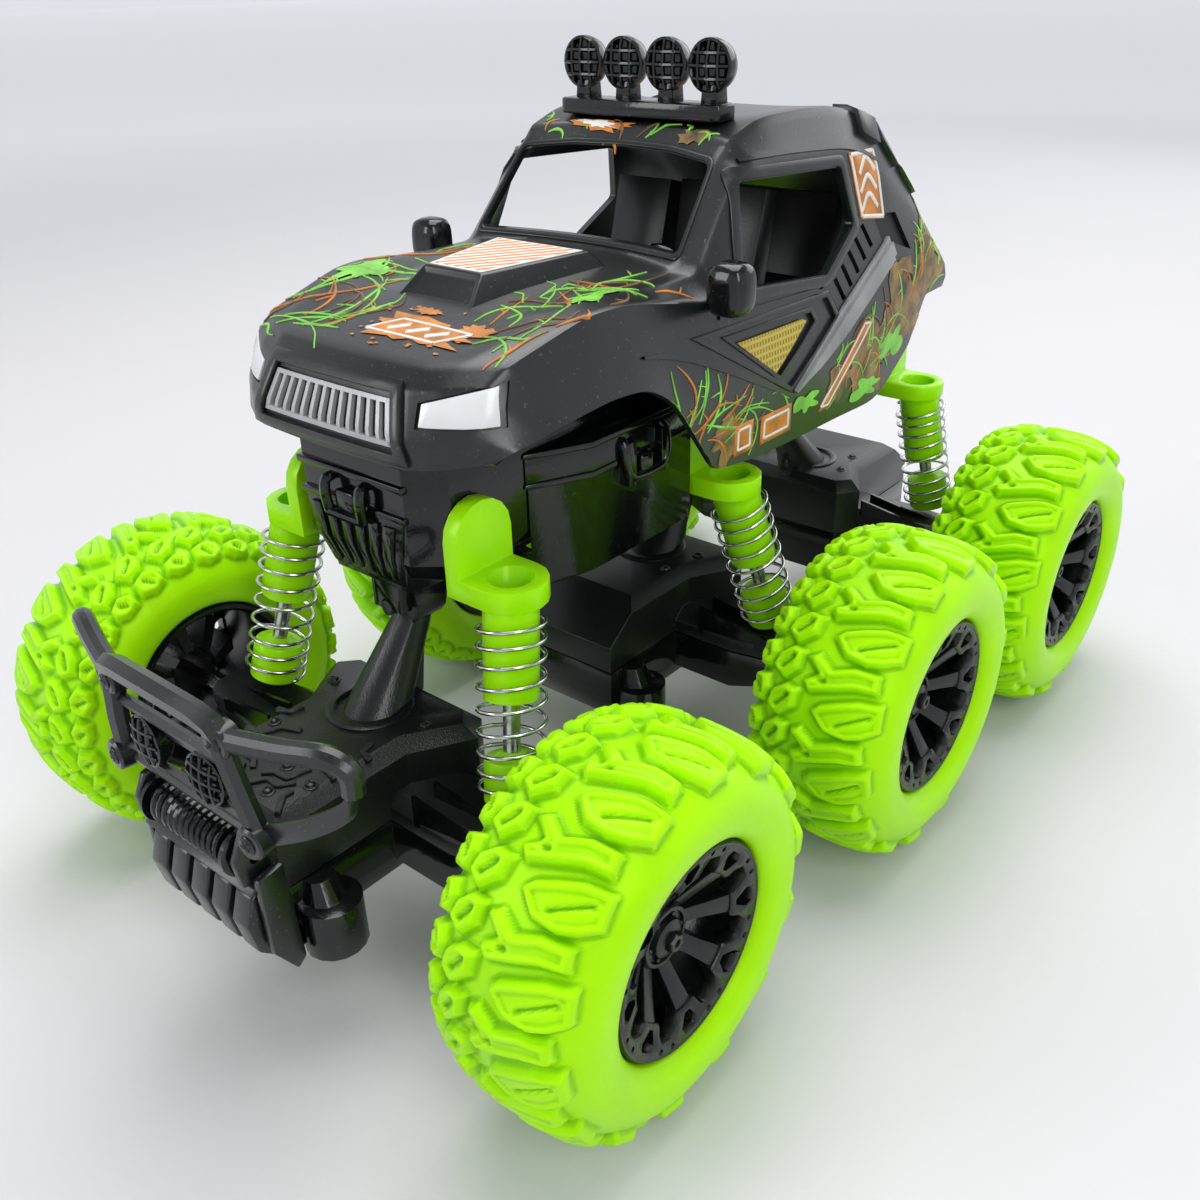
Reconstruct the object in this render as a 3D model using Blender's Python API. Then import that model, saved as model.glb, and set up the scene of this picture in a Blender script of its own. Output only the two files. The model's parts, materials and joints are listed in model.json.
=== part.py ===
"""Six-wheel climbing truck toy: chassis, three rolling axle modules, coil shocks, open cabin shell."""
import math

import bmesh
import bpy
from mathutils import Matrix, Vector

# Driving dimensions, in millimetres. Lengths along Y are measured from the front axle,
# the front of the truck faces -Y, its left side is +X and the floor is Z = 0.
MM = 0.001
GAP = 0.3
FRONT_AXLE_Y = -77.2          # where the front axle stands in the finished part
AXLES = {"front": 0.0, "middle": 85.9, "rear": 159.6}
SIDES = {"left": 1, "right": -1}

TYRE_RADIUS = 34.0
TYRE_HALF_WIDTH = 15.4
TYRE_BORE = 18.8
HALF_TRACK = 62.6
WHEEL_FACETS = 24
RIM_RADIUS = 18.4
RIM_BARREL_WALL = 1.6
RIM_LIP = 12.4                # rim edge outboard of the wheel's middle
SPOKE_FACE = 7.0
SPOKE_BACK = 3.0
HUB_RADIUS = 5.4
SHAFT_RADIUS = 1.5

AXLE_HEIGHT = TYRE_RADIUS
MODULE_HALF_WIDTH = 14.0
MODULE_FLARE = 20.6
MODULE_TOP = 48.0
MODULE_BOTTOM = 21.5
MODULE_WALL = 1.8
ARM_END = 44.5
FACING = {"front": 1, "middle": 1, "rear": -1}   # the rear gearbox is turned end for end
PIVOT_BACK = 15.3             # roll pivot from its own axle, on the side away from the gearbox nose
PIVOT_Y = {name: axle + FACING[name] * PIVOT_BACK for name, axle in AXLES.items()}
PIVOT_Z = {"front": 66.0, "middle": 64.5, "rear": 62.5}
PIVOT_PIN = 1.5

GEAR_TEETH = 24
PINION_TEETH = 10
TOOTH_MODULE = 0.7
GEAR_X = 8.0
GEAR_WIDTH = 2.6
MOTOR_RADIUS = 6.2

SHOCK_TOP = {"front": (28.1, 12.7, 79.4), "middle": (28.4, 77.0, 77.0), "rear": (29.0, 160.0, 75.0)}
SHOCK_BASE = {"front": (33.8, 3.8, 41.2), "middle": (34.2, 86.0, 41.2), "rear": (34.4, 163.6, 41.2)}
TUBE_RADIUS = 4.9
TUBE_BORE = 4.0
TUBE_LENGTH = 17.0
CUP_LENGTH = 8.0
ROD_RADIUS = 1.5
SPRING_RADIUS = 5.9
SPRING_WIRE = 0.4
SPRING_TURNS = 6
SHELF = 3.9
ARCH = 12.4
BRACKET_HALF = 6.5
CHASSIS_SIDE = 19.0           # half width where the shock brackets are screwed on

SHELL_WALL = 1.5

LIME = (0.33, 0.86, 0.01)
BLACK = (0.012, 0.013, 0.014)
STEEL = (0.62, 0.62, 0.60)
GREY = (0.05, 0.05, 0.055)
CREAM = (0.75, 0.72, 0.62)


def clear_scene():
    for old in list(bpy.data.objects):
        bpy.data.objects.remove(old, do_unlink=True)


def finish_material(name, colour, roughness, metallic):
    mat = bpy.data.materials.new(name)
    mat.use_nodes = True
    shader = mat.node_tree.nodes["Principled BSDF"]
    shader.inputs["Base Color"].default_value = (*colour, 1.0)
    shader.inputs["Roughness"].default_value = roughness
    shader.inputs["Metallic"].default_value = metallic
    return mat


def empty_at(name, place):
    """An empty on a joint's axis, which the moving piece is parented to."""
    pivot = bpy.data.objects.new(name, None)
    bpy.context.collection.objects.link(pivot)
    x, y, z = place
    pivot.location = Vector((x, y + FRONT_AXLE_Y, z)) * MM
    return pivot


def add_node(name, bm, finish, parent=None):
    """Turn a bmesh drawn in millimetres from the front axle into a named object in metres."""
    bmesh.ops.remove_doubles(bm, verts=bm.verts, dist=1e-4)
    bmesh.ops.recalc_face_normals(bm, faces=bm.faces)
    origin = parent.location if parent else Vector()
    shift = Matrix.Translation(Vector((0, FRONT_AXLE_Y * MM, 0)) - origin)
    bm.transform(shift @ Matrix.Scale(MM, 4))
    mesh = bpy.data.meshes.new(name)
    bm.to_mesh(mesh)
    bm.free()
    mesh.shade_smooth()
    mesh.set_sharp_from_angle(angle=math.radians(30))
    obj = bpy.data.objects.new(name, mesh)
    bpy.context.collection.objects.link(obj)
    obj.parent = parent
    colour, roughness, metallic = finish
    mesh.materials.append(finish_material(name, colour, roughness, metallic))
    return obj


def loft(rings, caps=True, closed=False):
    """Closed solid through rings of points that all have the same number of corners."""
    bm = bmesh.new()
    rows = [[bm.verts.new(p) for p in ring] for ring in rings]
    pairs = list(zip(rows, rows[1:]))
    if closed:
        pairs.append((rows[-1], rows[0]))
    for near, far in pairs:
        count = len(near)
        for i in range(count):
            j = (i + 1) % count
            bm.faces.new((near[i], near[j], far[j], far[i]))
    if caps and not closed:
        bm.faces.new(rows[0])
        bm.faces.new(list(reversed(rows[-1])))
    bmesh.ops.recalc_face_normals(bm, faces=bm.faces)
    return bm


def block(x0, x1, y0, y1, z0, z1):
    return loft([[(x0, y0, z), (x1, y0, z), (x1, y1, z), (x0, y1, z)] for z in (z0, z1)])


def slab(outline, z0, z1):
    """Outline of (x, y) corners raised from z0 to z1."""
    return loft([[(x, y, z) for x, y in outline] for z in (z0, z1)])


def side_slab(outline, x0, x1):
    """Outline of (y, z) corners stretched from x0 to x1."""
    return loft([[(x, y, z) for y, z in outline] for x in (x0, x1)])


def frame_along(direction):
    """Rotation that takes +Z onto a direction."""
    return Vector(direction).to_track_quat("Z", "Y").to_matrix().to_4x4()


def turned(profile, centre, direction, facets, start=0.0):
    """Profile of (radius, height) turned about an axis. A radius of 0 closes an end with a point."""
    bm = bmesh.new()
    place = Matrix.Translation(Vector(centre)) @ frame_along(direction)
    ring_of = []
    for radius, height in profile:
        if radius == 0:
            ring_of.append([bm.verts.new(place @ Vector((0, 0, height)))])
            continue
        angles = [start + 2 * math.pi * k / facets for k in range(facets)]
        ring_of.append([bm.verts.new(place @ Vector((radius * math.cos(a), radius * math.sin(a), height)))
                        for a in angles])
    open_ended = profile[0][0] == 0
    pairs = list(zip(ring_of, ring_of[1:]))
    if not open_ended:
        pairs.append((ring_of[-1], ring_of[0]))
    for near, far in pairs:
        for k in range(facets):
            n = (k + 1) % facets
            corners = [near[k], near[n]] if len(near) > 1 else [near[0]]
            corners += [far[n], far[k]] if len(far) > 1 else [far[0]]
            bm.faces.new(corners)
    bmesh.ops.recalc_face_normals(bm, faces=bm.faces)
    return bm


def rod(start, end, radius, facets=12):
    start, end = Vector(start), Vector(end)
    length = (end - start).length
    return turned([(0, 0), (radius, 0), (radius, length), (0, length)], start, end - start, facets)


def tapered(start, end, radius0, radius1, facets=16):
    start, end = Vector(start), Vector(end)
    length = (end - start).length
    return turned([(0, 0), (radius0, 0), (radius1, length), (0, length)], start, end - start, facets)


def as_object(bm):
    mesh = bpy.data.meshes.new("scratch")
    bm.to_mesh(mesh)
    bm.free()
    obj = bpy.data.objects.new("scratch", mesh)
    bpy.context.collection.objects.link(obj)
    return obj


def combine(base, tools, operation):
    """Join, cut or intersect solids, one Boolean after another, and give back one bmesh."""
    body = as_object(base)
    helpers = [as_object(tool) for tool in tools]
    for helper in helpers:
        cut = body.modifiers.new("cut", "BOOLEAN")
        cut.operation = operation
        cut.solver = "EXACT"
        cut.object = helper
    bpy.context.view_layer.update()
    evaluated = body.evaluated_get(bpy.context.evaluated_depsgraph_get())
    result = bmesh.new()
    result.from_mesh(evaluated.to_mesh())
    for used in [body, *helpers]:
        mesh = used.data
        bpy.data.objects.remove(used, do_unlink=True)
        bpy.data.meshes.remove(mesh)
    bmesh.ops.dissolve_limit(result, angle_limit=math.radians(0.5), verts=result.verts, edges=result.edges)
    bmesh.ops.triangulate(result, faces=result.faces)
    return result


def join(*solids):
    return combine(solids[0], solids[1:], "UNION")


def cut(base, *tools):
    return combine(base, tools, "DIFFERENCE")


def keep_inside(base, tool):
    return combine(base, [tool], "INTERSECT")


def mirrored(outline):
    """Outline drawn on the +X side from front to back, closed on the -X side."""
    return outline + [(-x, y) for x, y in reversed(outline)]


# Wheels

def tyre(centre, side):
    """Hollow tyre, open towards the rim, with one facet of its tread flat on the floor."""
    w, r, bore = TYRE_HALF_WIDTH, TYRE_RADIUS / math.cos(math.pi / WHEEL_FACETS), TYRE_BORE
    wall = 2.0
    outer = [(bore, RIM_LIP - GAP), (r - 11, w - 0.4), (r - 4, w - 0.4), (r, w - 5.4)]
    outer += [(radius, -height) for radius, height in reversed(outer)]
    inner = [(bore, -w + 5.6), (r - 7, -w + wall + 1), (r - wall - 1, -w + 6),
             (r - wall - 1, w - 6), (r - 7, w - wall - 1), (bore, w - 5.6)]
    return turned(outer + inner, centre, (side, 0, 0), WHEEL_FACETS, start=math.pi / WHEEL_FACETS)


def rim(centre, side):
    """Barrel, eight spokes and hub, drawn flat as sectors and raised along the axle."""
    bm = bmesh.new()
    radii = [SHAFT_RADIUS + GAP, HUB_RADIUS, RIM_RADIUS - RIM_BARREL_WALL, RIM_RADIUS]
    turn = Matrix.Translation(Vector(centre)) @ frame_along((side, 0, 0))

    def ring(radius, height):
        angles = [2 * math.pi * (k + 0.5) / WHEEL_FACETS for k in range(WHEEL_FACETS)]
        return [bm.verts.new(turn @ Vector((radius * math.cos(a), radius * math.sin(a), height)))
                for a in angles]

    back_edge, hub_face = -RIM_LIP + 1.4, SPOKE_FACE + 1.2
    lip = [ring(radii[3], RIM_LIP), ring(radii[2], RIM_LIP)]
    face = [ring(radii[2], SPOKE_FACE), ring(radii[1], SPOKE_FACE)]
    hub = [ring(radii[1], hub_face), ring(radii[0], hub_face)]
    hub_back = [ring(radii[0], SPOKE_BACK), ring(radii[1], SPOKE_BACK)]
    spoke_back = ring(radii[2], SPOKE_BACK)
    tail = [ring(radii[2], back_edge), ring(radii[3], back_edge)]

    def band(near, far, sectors):
        for k in sectors:
            n = (k + 1) % WHEEL_FACETS
            bm.faces.new((near[k], near[n], far[n], far[k]))

    every = range(WHEEL_FACETS)
    spokes = [k for k in every if k % 3 == 0]
    windows = [k for k in every if k % 3]
    for near, far in ((lip[0], lip[1]), (lip[1], face[0]), (face[1], hub[0]), (hub[0], hub[1]),
                      (hub[1], hub_back[0]), (hub_back[0], hub_back[1]), (spoke_back, tail[0]),
                      (tail[0], tail[1]), (tail[1], lip[0])):
        band(near, far, every)
    band(face[0], face[1], spokes)
    band(hub_back[1], spoke_back, spokes)
    band(face[0], spoke_back, windows)
    band(hub_back[1], face[1], windows)
    for k in spokes:
        n = (k + 1) % WHEEL_FACETS
        for corner in (k, n):
            bm.faces.new((face[0][corner], face[1][corner], hub_back[1][corner], spoke_back[corner]))
    bmesh.ops.recalc_face_normals(bm, faces=bm.faces)
    return bm


def gear_outline(teeth, clearance):
    """Corners of a gear: four to each tooth, with straight flanks."""
    pitch = teeth * TOOTH_MODULE / 2
    tip, root = pitch + 0.8 * TOOTH_MODULE, pitch - 1.1 * TOOTH_MODULE
    step = 2 * math.pi / teeth
    corners = []
    for k in range(teeth):
        for fraction, radius in ((-0.30, root), (-0.12, tip), (0.12, tip), (0.30, root)):
            angle = (k + fraction * (1 - clearance)) * step
            corners.append((radius * math.cos(angle), radius * math.sin(angle)))
    return corners


def gear(teeth, x0, x1, y, z, phase, clearance=0.12):
    """Spur gear from x0 to x1 with its axis along X."""
    turn = Matrix.Rotation(phase, 2)
    corners = [turn @ Vector(c) for c in gear_outline(teeth, clearance)]
    return side_slab([(y + c[0], z + c[1]) for c in corners], x0, x1)


# Axle modules

def module_solid(axle, front_slope):
    """Outer shape of a gearbox: centre box, flared shoulders and an arm towards each wheel."""
    w, flare, top, bottom = MODULE_HALF_WIDTH, MODULE_FLARE, MODULE_TOP, MODULE_BOTTOM
    plan = mirrored([(w, -31.0), (w, -2.4), (flare, 9.0), (flare - 4, 14.0)])
    bevel = mirrored([(w - 2.6, -28.6), (w - 2.6, -1.4), (flare - 3, 8.4), (flare - 6, 11.6)])
    under = mirrored([(w - 1.5, -29.0), (w - 1.5, -2.4), (flare - 1.5, 9.0), (flare - 5, 13.0)])
    layers = [(under, bottom), (plan, bottom + 5), (plan, top - 2.4), (bevel, top)]
    box = loft([[(x, y + axle, z) for x, y in outline] for outline, z in layers])
    arms = []
    for side in SIDES.values():
        wide = [(-7.5, 25.0), (8.5, 25.0), (8.5, 37.0), (6.0, 39.2), (-5.0, 39.2), (-7.5, 37.0)]
        narrow = [(-4.6, 29.0), (4.6, 29.0), (4.6, 37.6), (3.2, 39.0), (-3.2, 39.0), (-4.6, 37.6)]
        arms.append(loft([[(side * x, axle + y, z) for y, z in outline]
                          for x, outline in ((w - 2, wide), (29.0, wide), (ARM_END, narrow))]))
    if front_slope:
        wedge = side_slab([(axle - 34, 38.0), (axle - 19.0, 49.0), (axle - 34, 49.0)], -30, 30)
        box = cut(box, wedge)
    return join(box, *arms)


def module_cavity(axle):
    """Room for the gears and motor, and the bore that the shaft turns in."""
    w, wall = MODULE_HALF_WIDTH - MODULE_WALL, MODULE_WALL
    room = block(-w, w, axle - 22.0, axle + 11.6, MODULE_BOTTOM + wall, MODULE_TOP - 2.6)
    bore = rod((-ARM_END - 5, axle, AXLE_HEIGHT), (ARM_END + 5, axle, AXLE_HEIGHT), SHAFT_RADIUS + 0.6)
    return [room, bore]


def neck(axle, pivot_z):
    """Leaning tube and fin from the cover up to the roll pivot, with a stub pin fore and aft."""
    y = axle + PIVOT_BACK
    tube = tapered((0, axle + 1.6, MODULE_TOP - 4), (0, y - 0.2, pivot_z - 2.4), 6.4, 3.2)
    fin = side_slab([(axle + 4, MODULE_TOP - 1.5), (axle + 13.5, MODULE_TOP - 1.5), (y + 1.0, pivot_z)],
                    -1.5, 1.5)
    barrel = rod((0, y - 3.6, pivot_z), (0, y + 3.6, pivot_z), 4.7, 14)
    pin = rod((0, y - 7.0, pivot_z), (0, y + 7.0, pivot_z), PIVOT_PIN)
    return [tube, fin, barrel, pin]


def side_boss(axle):
    """Round post and half dome low on the left wall, over the gear train's spring housing."""
    x, y = MODULE_HALF_WIDTH + 3.0, axle - 24.5
    post = rod((x, y, MODULE_BOTTOM - 1.0), (x, y, 30.0), 5.6, 16)
    dome = tapered((x - 1.5, y, 29.0), (x - 3.6, y, 38.0), 4.2, 1.6, 12)
    return [post, dome]


def face(name, bm):
    """Turn a module drawn nose forward about its axle's middle to the way it really faces."""
    if FACING[name] < 0:
        middle = Matrix.Translation((0, AXLES[name], 0))
        bm.transform(middle @ Matrix.Rotation(math.pi, 4, "Z") @ middle.inverted())
    return bm


def axle_cover(name, axle, pivot_z, parent):
    outer = module_solid(axle, front_slope=name != "front")
    upper = block(-60, 60, axle - 60, axle + 60, AXLE_HEIGHT + GAP / 2, 90)
    shell = cut(keep_inside(outer, upper), *module_cavity(axle))
    cover = face(name, join(shell, *neck(axle, pivot_z)))
    return add_node(f"{name}_axle_cover", cover, (BLACK, 0.5, 0.0), parent)


def axle_housing(name, axle, parent):
    outer = module_solid(axle, front_slope=False)
    lower = block(-60, 60, axle - 60, axle + 60, 10, AXLE_HEIGHT - GAP / 2)
    shell = cut(keep_inside(outer, lower), *module_cavity(axle))
    post = keep_inside(join(*side_boss(axle)), block(-60, 60, axle - 60, axle + 60, 10,
                                                     AXLE_HEIGHT - GAP / 2))
    skid = [side_slab([(axle - 36.0, 23.5), (axle - 31.5, 20.4), (axle - 24.0, 20.4),
                       (axle - 24.0, 30.0), (axle - 36.0, 32.0)], x - 1.7, x + 1.7)
            for x in (-11.6, -5.8, 0, 5.8, 11.6)] if name == "front" else []
    housing = face(name, join(shell, post, *skid))
    return add_node(f"{name}_axle_housing", housing, (BLACK, 0.4, 0.0), parent)


def axle_shaft(name, axle, parent):
    end = HALF_TRACK + SPOKE_FACE + 0.6
    shaft = rod((-end, axle, AXLE_HEIGHT), (end, axle, AXLE_HEIGHT), SHAFT_RADIUS, 10)
    wheel = gear(GEAR_TEETH, GEAR_X - GEAR_WIDTH / 2, GEAR_X + GEAR_WIDTH / 2, axle, AXLE_HEIGHT, 0.0)
    return add_node(f"{name}_axle_shaft", join(wheel, shaft), (STEEL, 0.3, 1.0), parent)


def motor_place(name):
    distance = (GEAR_TEETH + PINION_TEETH) * TOOTH_MODULE / 2 + 0.2
    return AXLES[name] - FACING[name] * distance, AXLE_HEIGHT


def motor_and_pinion(name, module, pinion_pivot):
    y, z = motor_place(name)
    can = turned([(0, 0), (1.9, 0), (1.9, 1.0), (MOTOR_RADIUS, 1.0), (MOTOR_RADIUS, 16.0), (0, 16.0)],
                 (5.0, y, z), (-1, 0, 0), 16)
    add_node(f"{name}_motor", can, (STEEL, 0.3, 1.0), module)
    start = math.pi / PINION_TEETH
    teeth = gear(PINION_TEETH, GEAR_X - GEAR_WIDTH / 2, GEAR_X + GEAR_WIDTH / 2, y, z, start)
    stub = rod((5.0 + GAP, y, z), (GEAR_X + 2.2, y, z), 1.0, 8)
    add_node(f"{name}_motor_pinion", join(teeth, stub), (CREAM, 0.45, 0.0), pinion_pivot)


# Shock absorbers

def shock_line(place, side):
    """Top and base of a shock's centre line, mirrored to its side."""
    top, base = Vector(SHOCK_TOP[place]), Vector(SHOCK_BASE[place])
    top.x *= side
    base.x *= side
    return top, base


def shock_bracket(place, side):
    """Arched back plate, round shelf and tube in one moulding, bored right through."""
    top, base = shock_line(place, side)
    down = (base - top).normalized()
    half, inner = BRACKET_HALF, side * (CHASSIS_SIDE + GAP)
    steps = 8
    arc = [(math.cos(math.pi * k / steps), math.sin(math.pi * k / steps)) for k in range(steps + 1)]
    shelf_outline = [(inner, top.y - half)]
    shelf_outline += [(top.x + side * half * s, top.y - half * c) for c, s in arc]
    shelf_outline += [(inner, top.y + half)]
    shelf = slab(shelf_outline, top.z - SHELF, top.z)
    arch_z = top.z + ARCH - half
    plate_outline = [(top.y + half * c, arch_z + half * s) for c, s in arc]
    plate_outline += [(top.y - half, top.z - SHELF), (top.y + half, top.z - SHELF)]
    plate = side_slab(plate_outline, inner, inner + side * 3.2)
    tube = rod(top + down * 1.5, top + down * (SHELF + TUBE_LENGTH), TUBE_RADIUS, 16)
    bore = rod(top - down * 6, top + down * 40, TUBE_BORE, 16)
    return cut(join(shelf, plate, tube), bore)


def damper_rod(place, side):
    """Polished rod standing in the green lower cup."""
    top, base = shock_line(place, side)
    length = (base - top).length
    rod_end = length - 12.0
    profile = [(0, -0.8), (2.2, -0.8), (2.2, 0), (TUBE_RADIUS, 0), (TUBE_RADIUS, CUP_LENGTH),
               (ROD_RADIUS, CUP_LENGTH), (ROD_RADIUS, rod_end), (0, rod_end)]
    return turned(profile, base, top - base, 12)


def coil_spring(place, side):
    """Helix of round wire around tube and cup, from the shelf down to the foot of the cup."""
    top, base = shock_line(place, side)
    up = (top - base).normalized()
    lowest = 1.0
    highest = (top - base).length - SHELF - 3.4
    place_matrix = Matrix.Translation(base) @ frame_along(up)
    around, sides = 8, 3
    count = SPRING_TURNS * around
    rings = []
    for k in range(count + 1):
        angle = 2 * math.pi * k / around
        height = lowest + (highest - lowest) * k / count
        out = Vector((math.cos(angle), math.sin(angle), 0))
        centre = out * SPRING_RADIUS + Vector((0, 0, height))
        section = [2 * math.pi * s / sides for s in range(sides)]
        rings.append([place_matrix @ (centre + SPRING_WIRE * (out * math.cos(a) + Vector((0, 0, math.sin(a)))))
                      for a in section])
    return loft(rings)


# Chassis and what it carries

def clevis(y, pivot_z):
    """Two lugs under the chassis whose half-round seats snap over the stub pins of a neck."""
    return [block(-3.6, 3.6, y + near, y + far, pivot_z - 0.4, 82)
            for near, far in ((-6.8, -4.1), (4.1, 6.8))]


def clevis_bore(y, pivot_z):
    return rod((0, y - 9, pivot_z), (0, y + 9, pivot_z), PIVOT_PIN + GAP)


def chassis_tub():
    side = CHASSIS_SIDE
    plan = mirrored([(12.9, 4.2), (side, 9.0), (side, 166.0), (15.0, 169.0)])
    foot = mirrored([(10.4, 6.4), (side - 2, 11.0), (side - 2, 164.0), (13.6, 166.6)])
    layers = [(foot, 76.0), (plan, 80.0), (plan, 97.5)]
    beam = loft([[(x, y, z) for x, y in outline] for outline, z in layers])
    nose = loft([[(x, y, z) for x, y in mirrored(outline)] for outline, z in
                 (([(9.6, 6.2), (14.6, 10.0), (14.6, 26.0)], 73.0), ([(12.4, 4.4), (side - 0.5, 9.0),
                  (side - 0.5, 30.0)], 90.0))])
    bay = block(-15.5, 15.5, 36.0, 150.0, 79.5, 99.0)
    lugs = [lug for name in AXLES for lug in clevis(PIVOT_Y[name], PIVOT_Z[name])]
    bores = [clevis_bore(PIVOT_Y[name], PIVOT_Z[name]) for name in AXLES]
    door = block(-12.3, 12.3, 46.0, 82.0, 70.0, 81.0)
    switch_slot = block(-3.2, 3.2, 128.0, 137.0, 70.0, 81.0)
    return cut(join(beam, nose, *lugs), bay, door, switch_slot, *bores)


def side_box(side):
    """Toolbox on the chassis flank with a sloped front end, a lid and a clip."""
    inner = CHASSIS_SIDE + GAP
    outline = [(inner, 27.0), (24.2, 38.6), (24.2, 69.0), (inner, 69.0)]
    lid = [(inner, 26.6), (24.7, 38.3), (24.7, 69.3), (inner, 69.3)]
    parts = [slab([(side * x, y) for x, y in outline], 69.0, 88.6),
             slab([(side * x, y) for x, y in lid], 88.0, 94.4)]
    for y in (46.5, 56.5):
        parts.append(block(*sorted((side * 24.0, side * 26.6)), y, y + 2.2, 83.5, 92.0))
    parts.append(block(*sorted((side * 24.0, side * 26.2)), 46.5, 58.7, 83.5, 85.2))
    return join(*parts)


def battery_pack():
    cells = [rod((x, 40.0, 89.0), (x, 88.0, 89.0), 6.8, 14) for x in (-7.0, 7.0)]
    tray = block(-13.8, 13.8, 39.0, 89.0, 81.4, 84.5)
    return join(tray, *cells)


def seat_tray():
    """Moulded cabin floor with two front seats, a rear bench and the steering column."""
    floor = block(-24.0, 24.0, 62.0, 136.0, 99.0, 101.0)
    seats = []
    for x in (-12.0, 12.0):
        seats.append(block(x - 7, x + 7, 84.0, 99.0, 100.5, 106.0))
        seats.append(side_slab([(95.0, 104.0), (101.0, 104.0), (105.5, 127.0), (101.5, 128.0)], x - 7, x + 7))
    bench = block(-21, 21, 112.0, 126.0, 100.5, 106.0)
    bench_back = side_slab([(122.0, 104.0), (127.0, 104.0), (131.0, 123.0), (127.5, 123.5)], -21, 21)
    dash = side_slab([(64.0, 100.5), (72.0, 100.5), (72.0, 112.0), (66.0, 114.5), (64.0, 114.5)], -22, 22)
    column = rod((12.0, 70.0, 111.0), (12.0, 76.5, 114.5), 1.1, 8)
    posts = [block(s * 16.6 - 1.2, s * 16.6 + 1.2, y, y + 4, 98.0, 99.5) for s in (-1, 1) for y in (70.0, 118.0)]
    return join(floor, *seats, bench, bench_back, dash, column, *posts)


def steering_wheel():
    centre, axis = Vector((12.0, 77.6, 115.1)), Vector((0, 6.5, 3.5)).normalized()
    hoop = turned([(5.4, -0.6), (6.6, -0.6), (6.6, 0.6), (5.4, 0.6)], centre, axis, 16)
    hub = turned([(0, -0.6), (1.5, -0.6), (1.5, 0.7), (0, 0.7)], centre, axis, 8)
    turn = Matrix.Translation(centre) @ frame_along(axis)
    spokes = []
    for degrees in (90, 210, 330):
        bar = block(1.0, 5.8, -0.6, 0.6, -0.4, 0.4)
        bar.transform(turn @ Matrix.Rotation(math.radians(degrees), 4, "Z"))
        spokes.append(bar)
    return join(hoop, hub, *spokes)


# Body shell: half sections from the nose to the tail, each from the centre line out and down

def shell_sections():
    return [
        [(0, 0.6, 99.4), (9, 0.6, 99.5), (18, 0.8, 99.8), (22, 2.0, 100.2), (26, 4.0, 100.8), (31, 8.0, 101.6), None],
        [(0, 0.4, 104), (9, 0.4, 104.1), (18.5, 0.9, 104.4), (23, 2.8, 104.9), (28, 6.0, 105.4), (33, 11, 103.2), None],
        [(0, 3.6, 111.6), (9, 3.6, 111.6), (17.5, 4, 111.4), (22.5, 6.2, 112), (28.4, 9.8, 112.4), (34, 15, 104), None],
        [(0, 7, 114.4), (9, 7, 114.5), (18, 7.6, 114.6), (23, 10.4, 115), (29, 14, 115.2), (34.6, 19, 105), None],
        [(0, 26, 118.6), (8, 26, 118.6), (19, 27, 118.6), (25.5, 28.4, 119.6), (31, 30, 119.6), (35.4, 31, 106.2),
         None],
        [(0, 32, 122.6), (8, 32, 122.6), (20, 36, 119.4), (26, 37, 120.2), (31.8, 38, 120.2), (35.6, 41, 105.8),
         None],
        [(0, 54, 122.8), (10.4, 54, 122.6), (22, 50, 120.2), (27, 51, 119.6), (32, 51, 117.6), (35.2, 49, 100.6),
         None],
        [(0, 66, 121), (12, 65.4, 121), (25.4, 61.6, 120.4), (28.6, 63.6, 119.2), (33, 65, 114.8), (35, 63, 100),
         (34.6, 62.6, 83.6)],
        [(0, 80, 138.6), (11, 79.2, 138.4), (24.2, 75.8, 136.8), (28.2, 78, 134.4), (33.2, 73.5, 114.4),
         (35.2, 77, 100), (34.8, 77, 81.8)],
        [(0, 84, 141.6), (12, 83.2, 141.5), (25.4, 79.6, 140.2), (28.6, 84, 135.2), (33.3, 86, 113.8),
         (35.3, 90, 99.6), (34.9, 92, 81.4)],
        [(0, 104, 142.6), (13, 104, 142.4), (26.4, 104, 141.2), (29.2, 106, 134.2), (33.4, 101, 113.2),
         (35.2, 106, 99.4), (34.8, 108, 81)],
        [(0, 113, 142.4), (13, 113, 142.2), (26.8, 113, 141), (30.6, 115, 121.4), (33.3, 104.6, 112.8),
         (35, 116, 99), (34.6, 130, 80.4)],
        [(0, 130, 139.4), (13, 130, 139.2), (27, 130, 137.6), (30.6, 131, 124.0), (33, 134, 112), (34.2, 140, 103),
         (33.8, 146, 96)],
        [(0, 148, 123.8), (13, 148, 123.6), (27.4, 147, 122.4), (30.4, 148, 118), (32.4, 150, 111),
         (33.4, 152, 105), (33, 154, 98.8)],
        [(0, 163, 108), (13, 163, 107.8), (28, 162, 106.8), (30.4, 161.8, 105.8), (31.6, 161.6, 104.2),
         (32.4, 161.2, 102), (32.2, 161, 99.2)],
    ]


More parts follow.
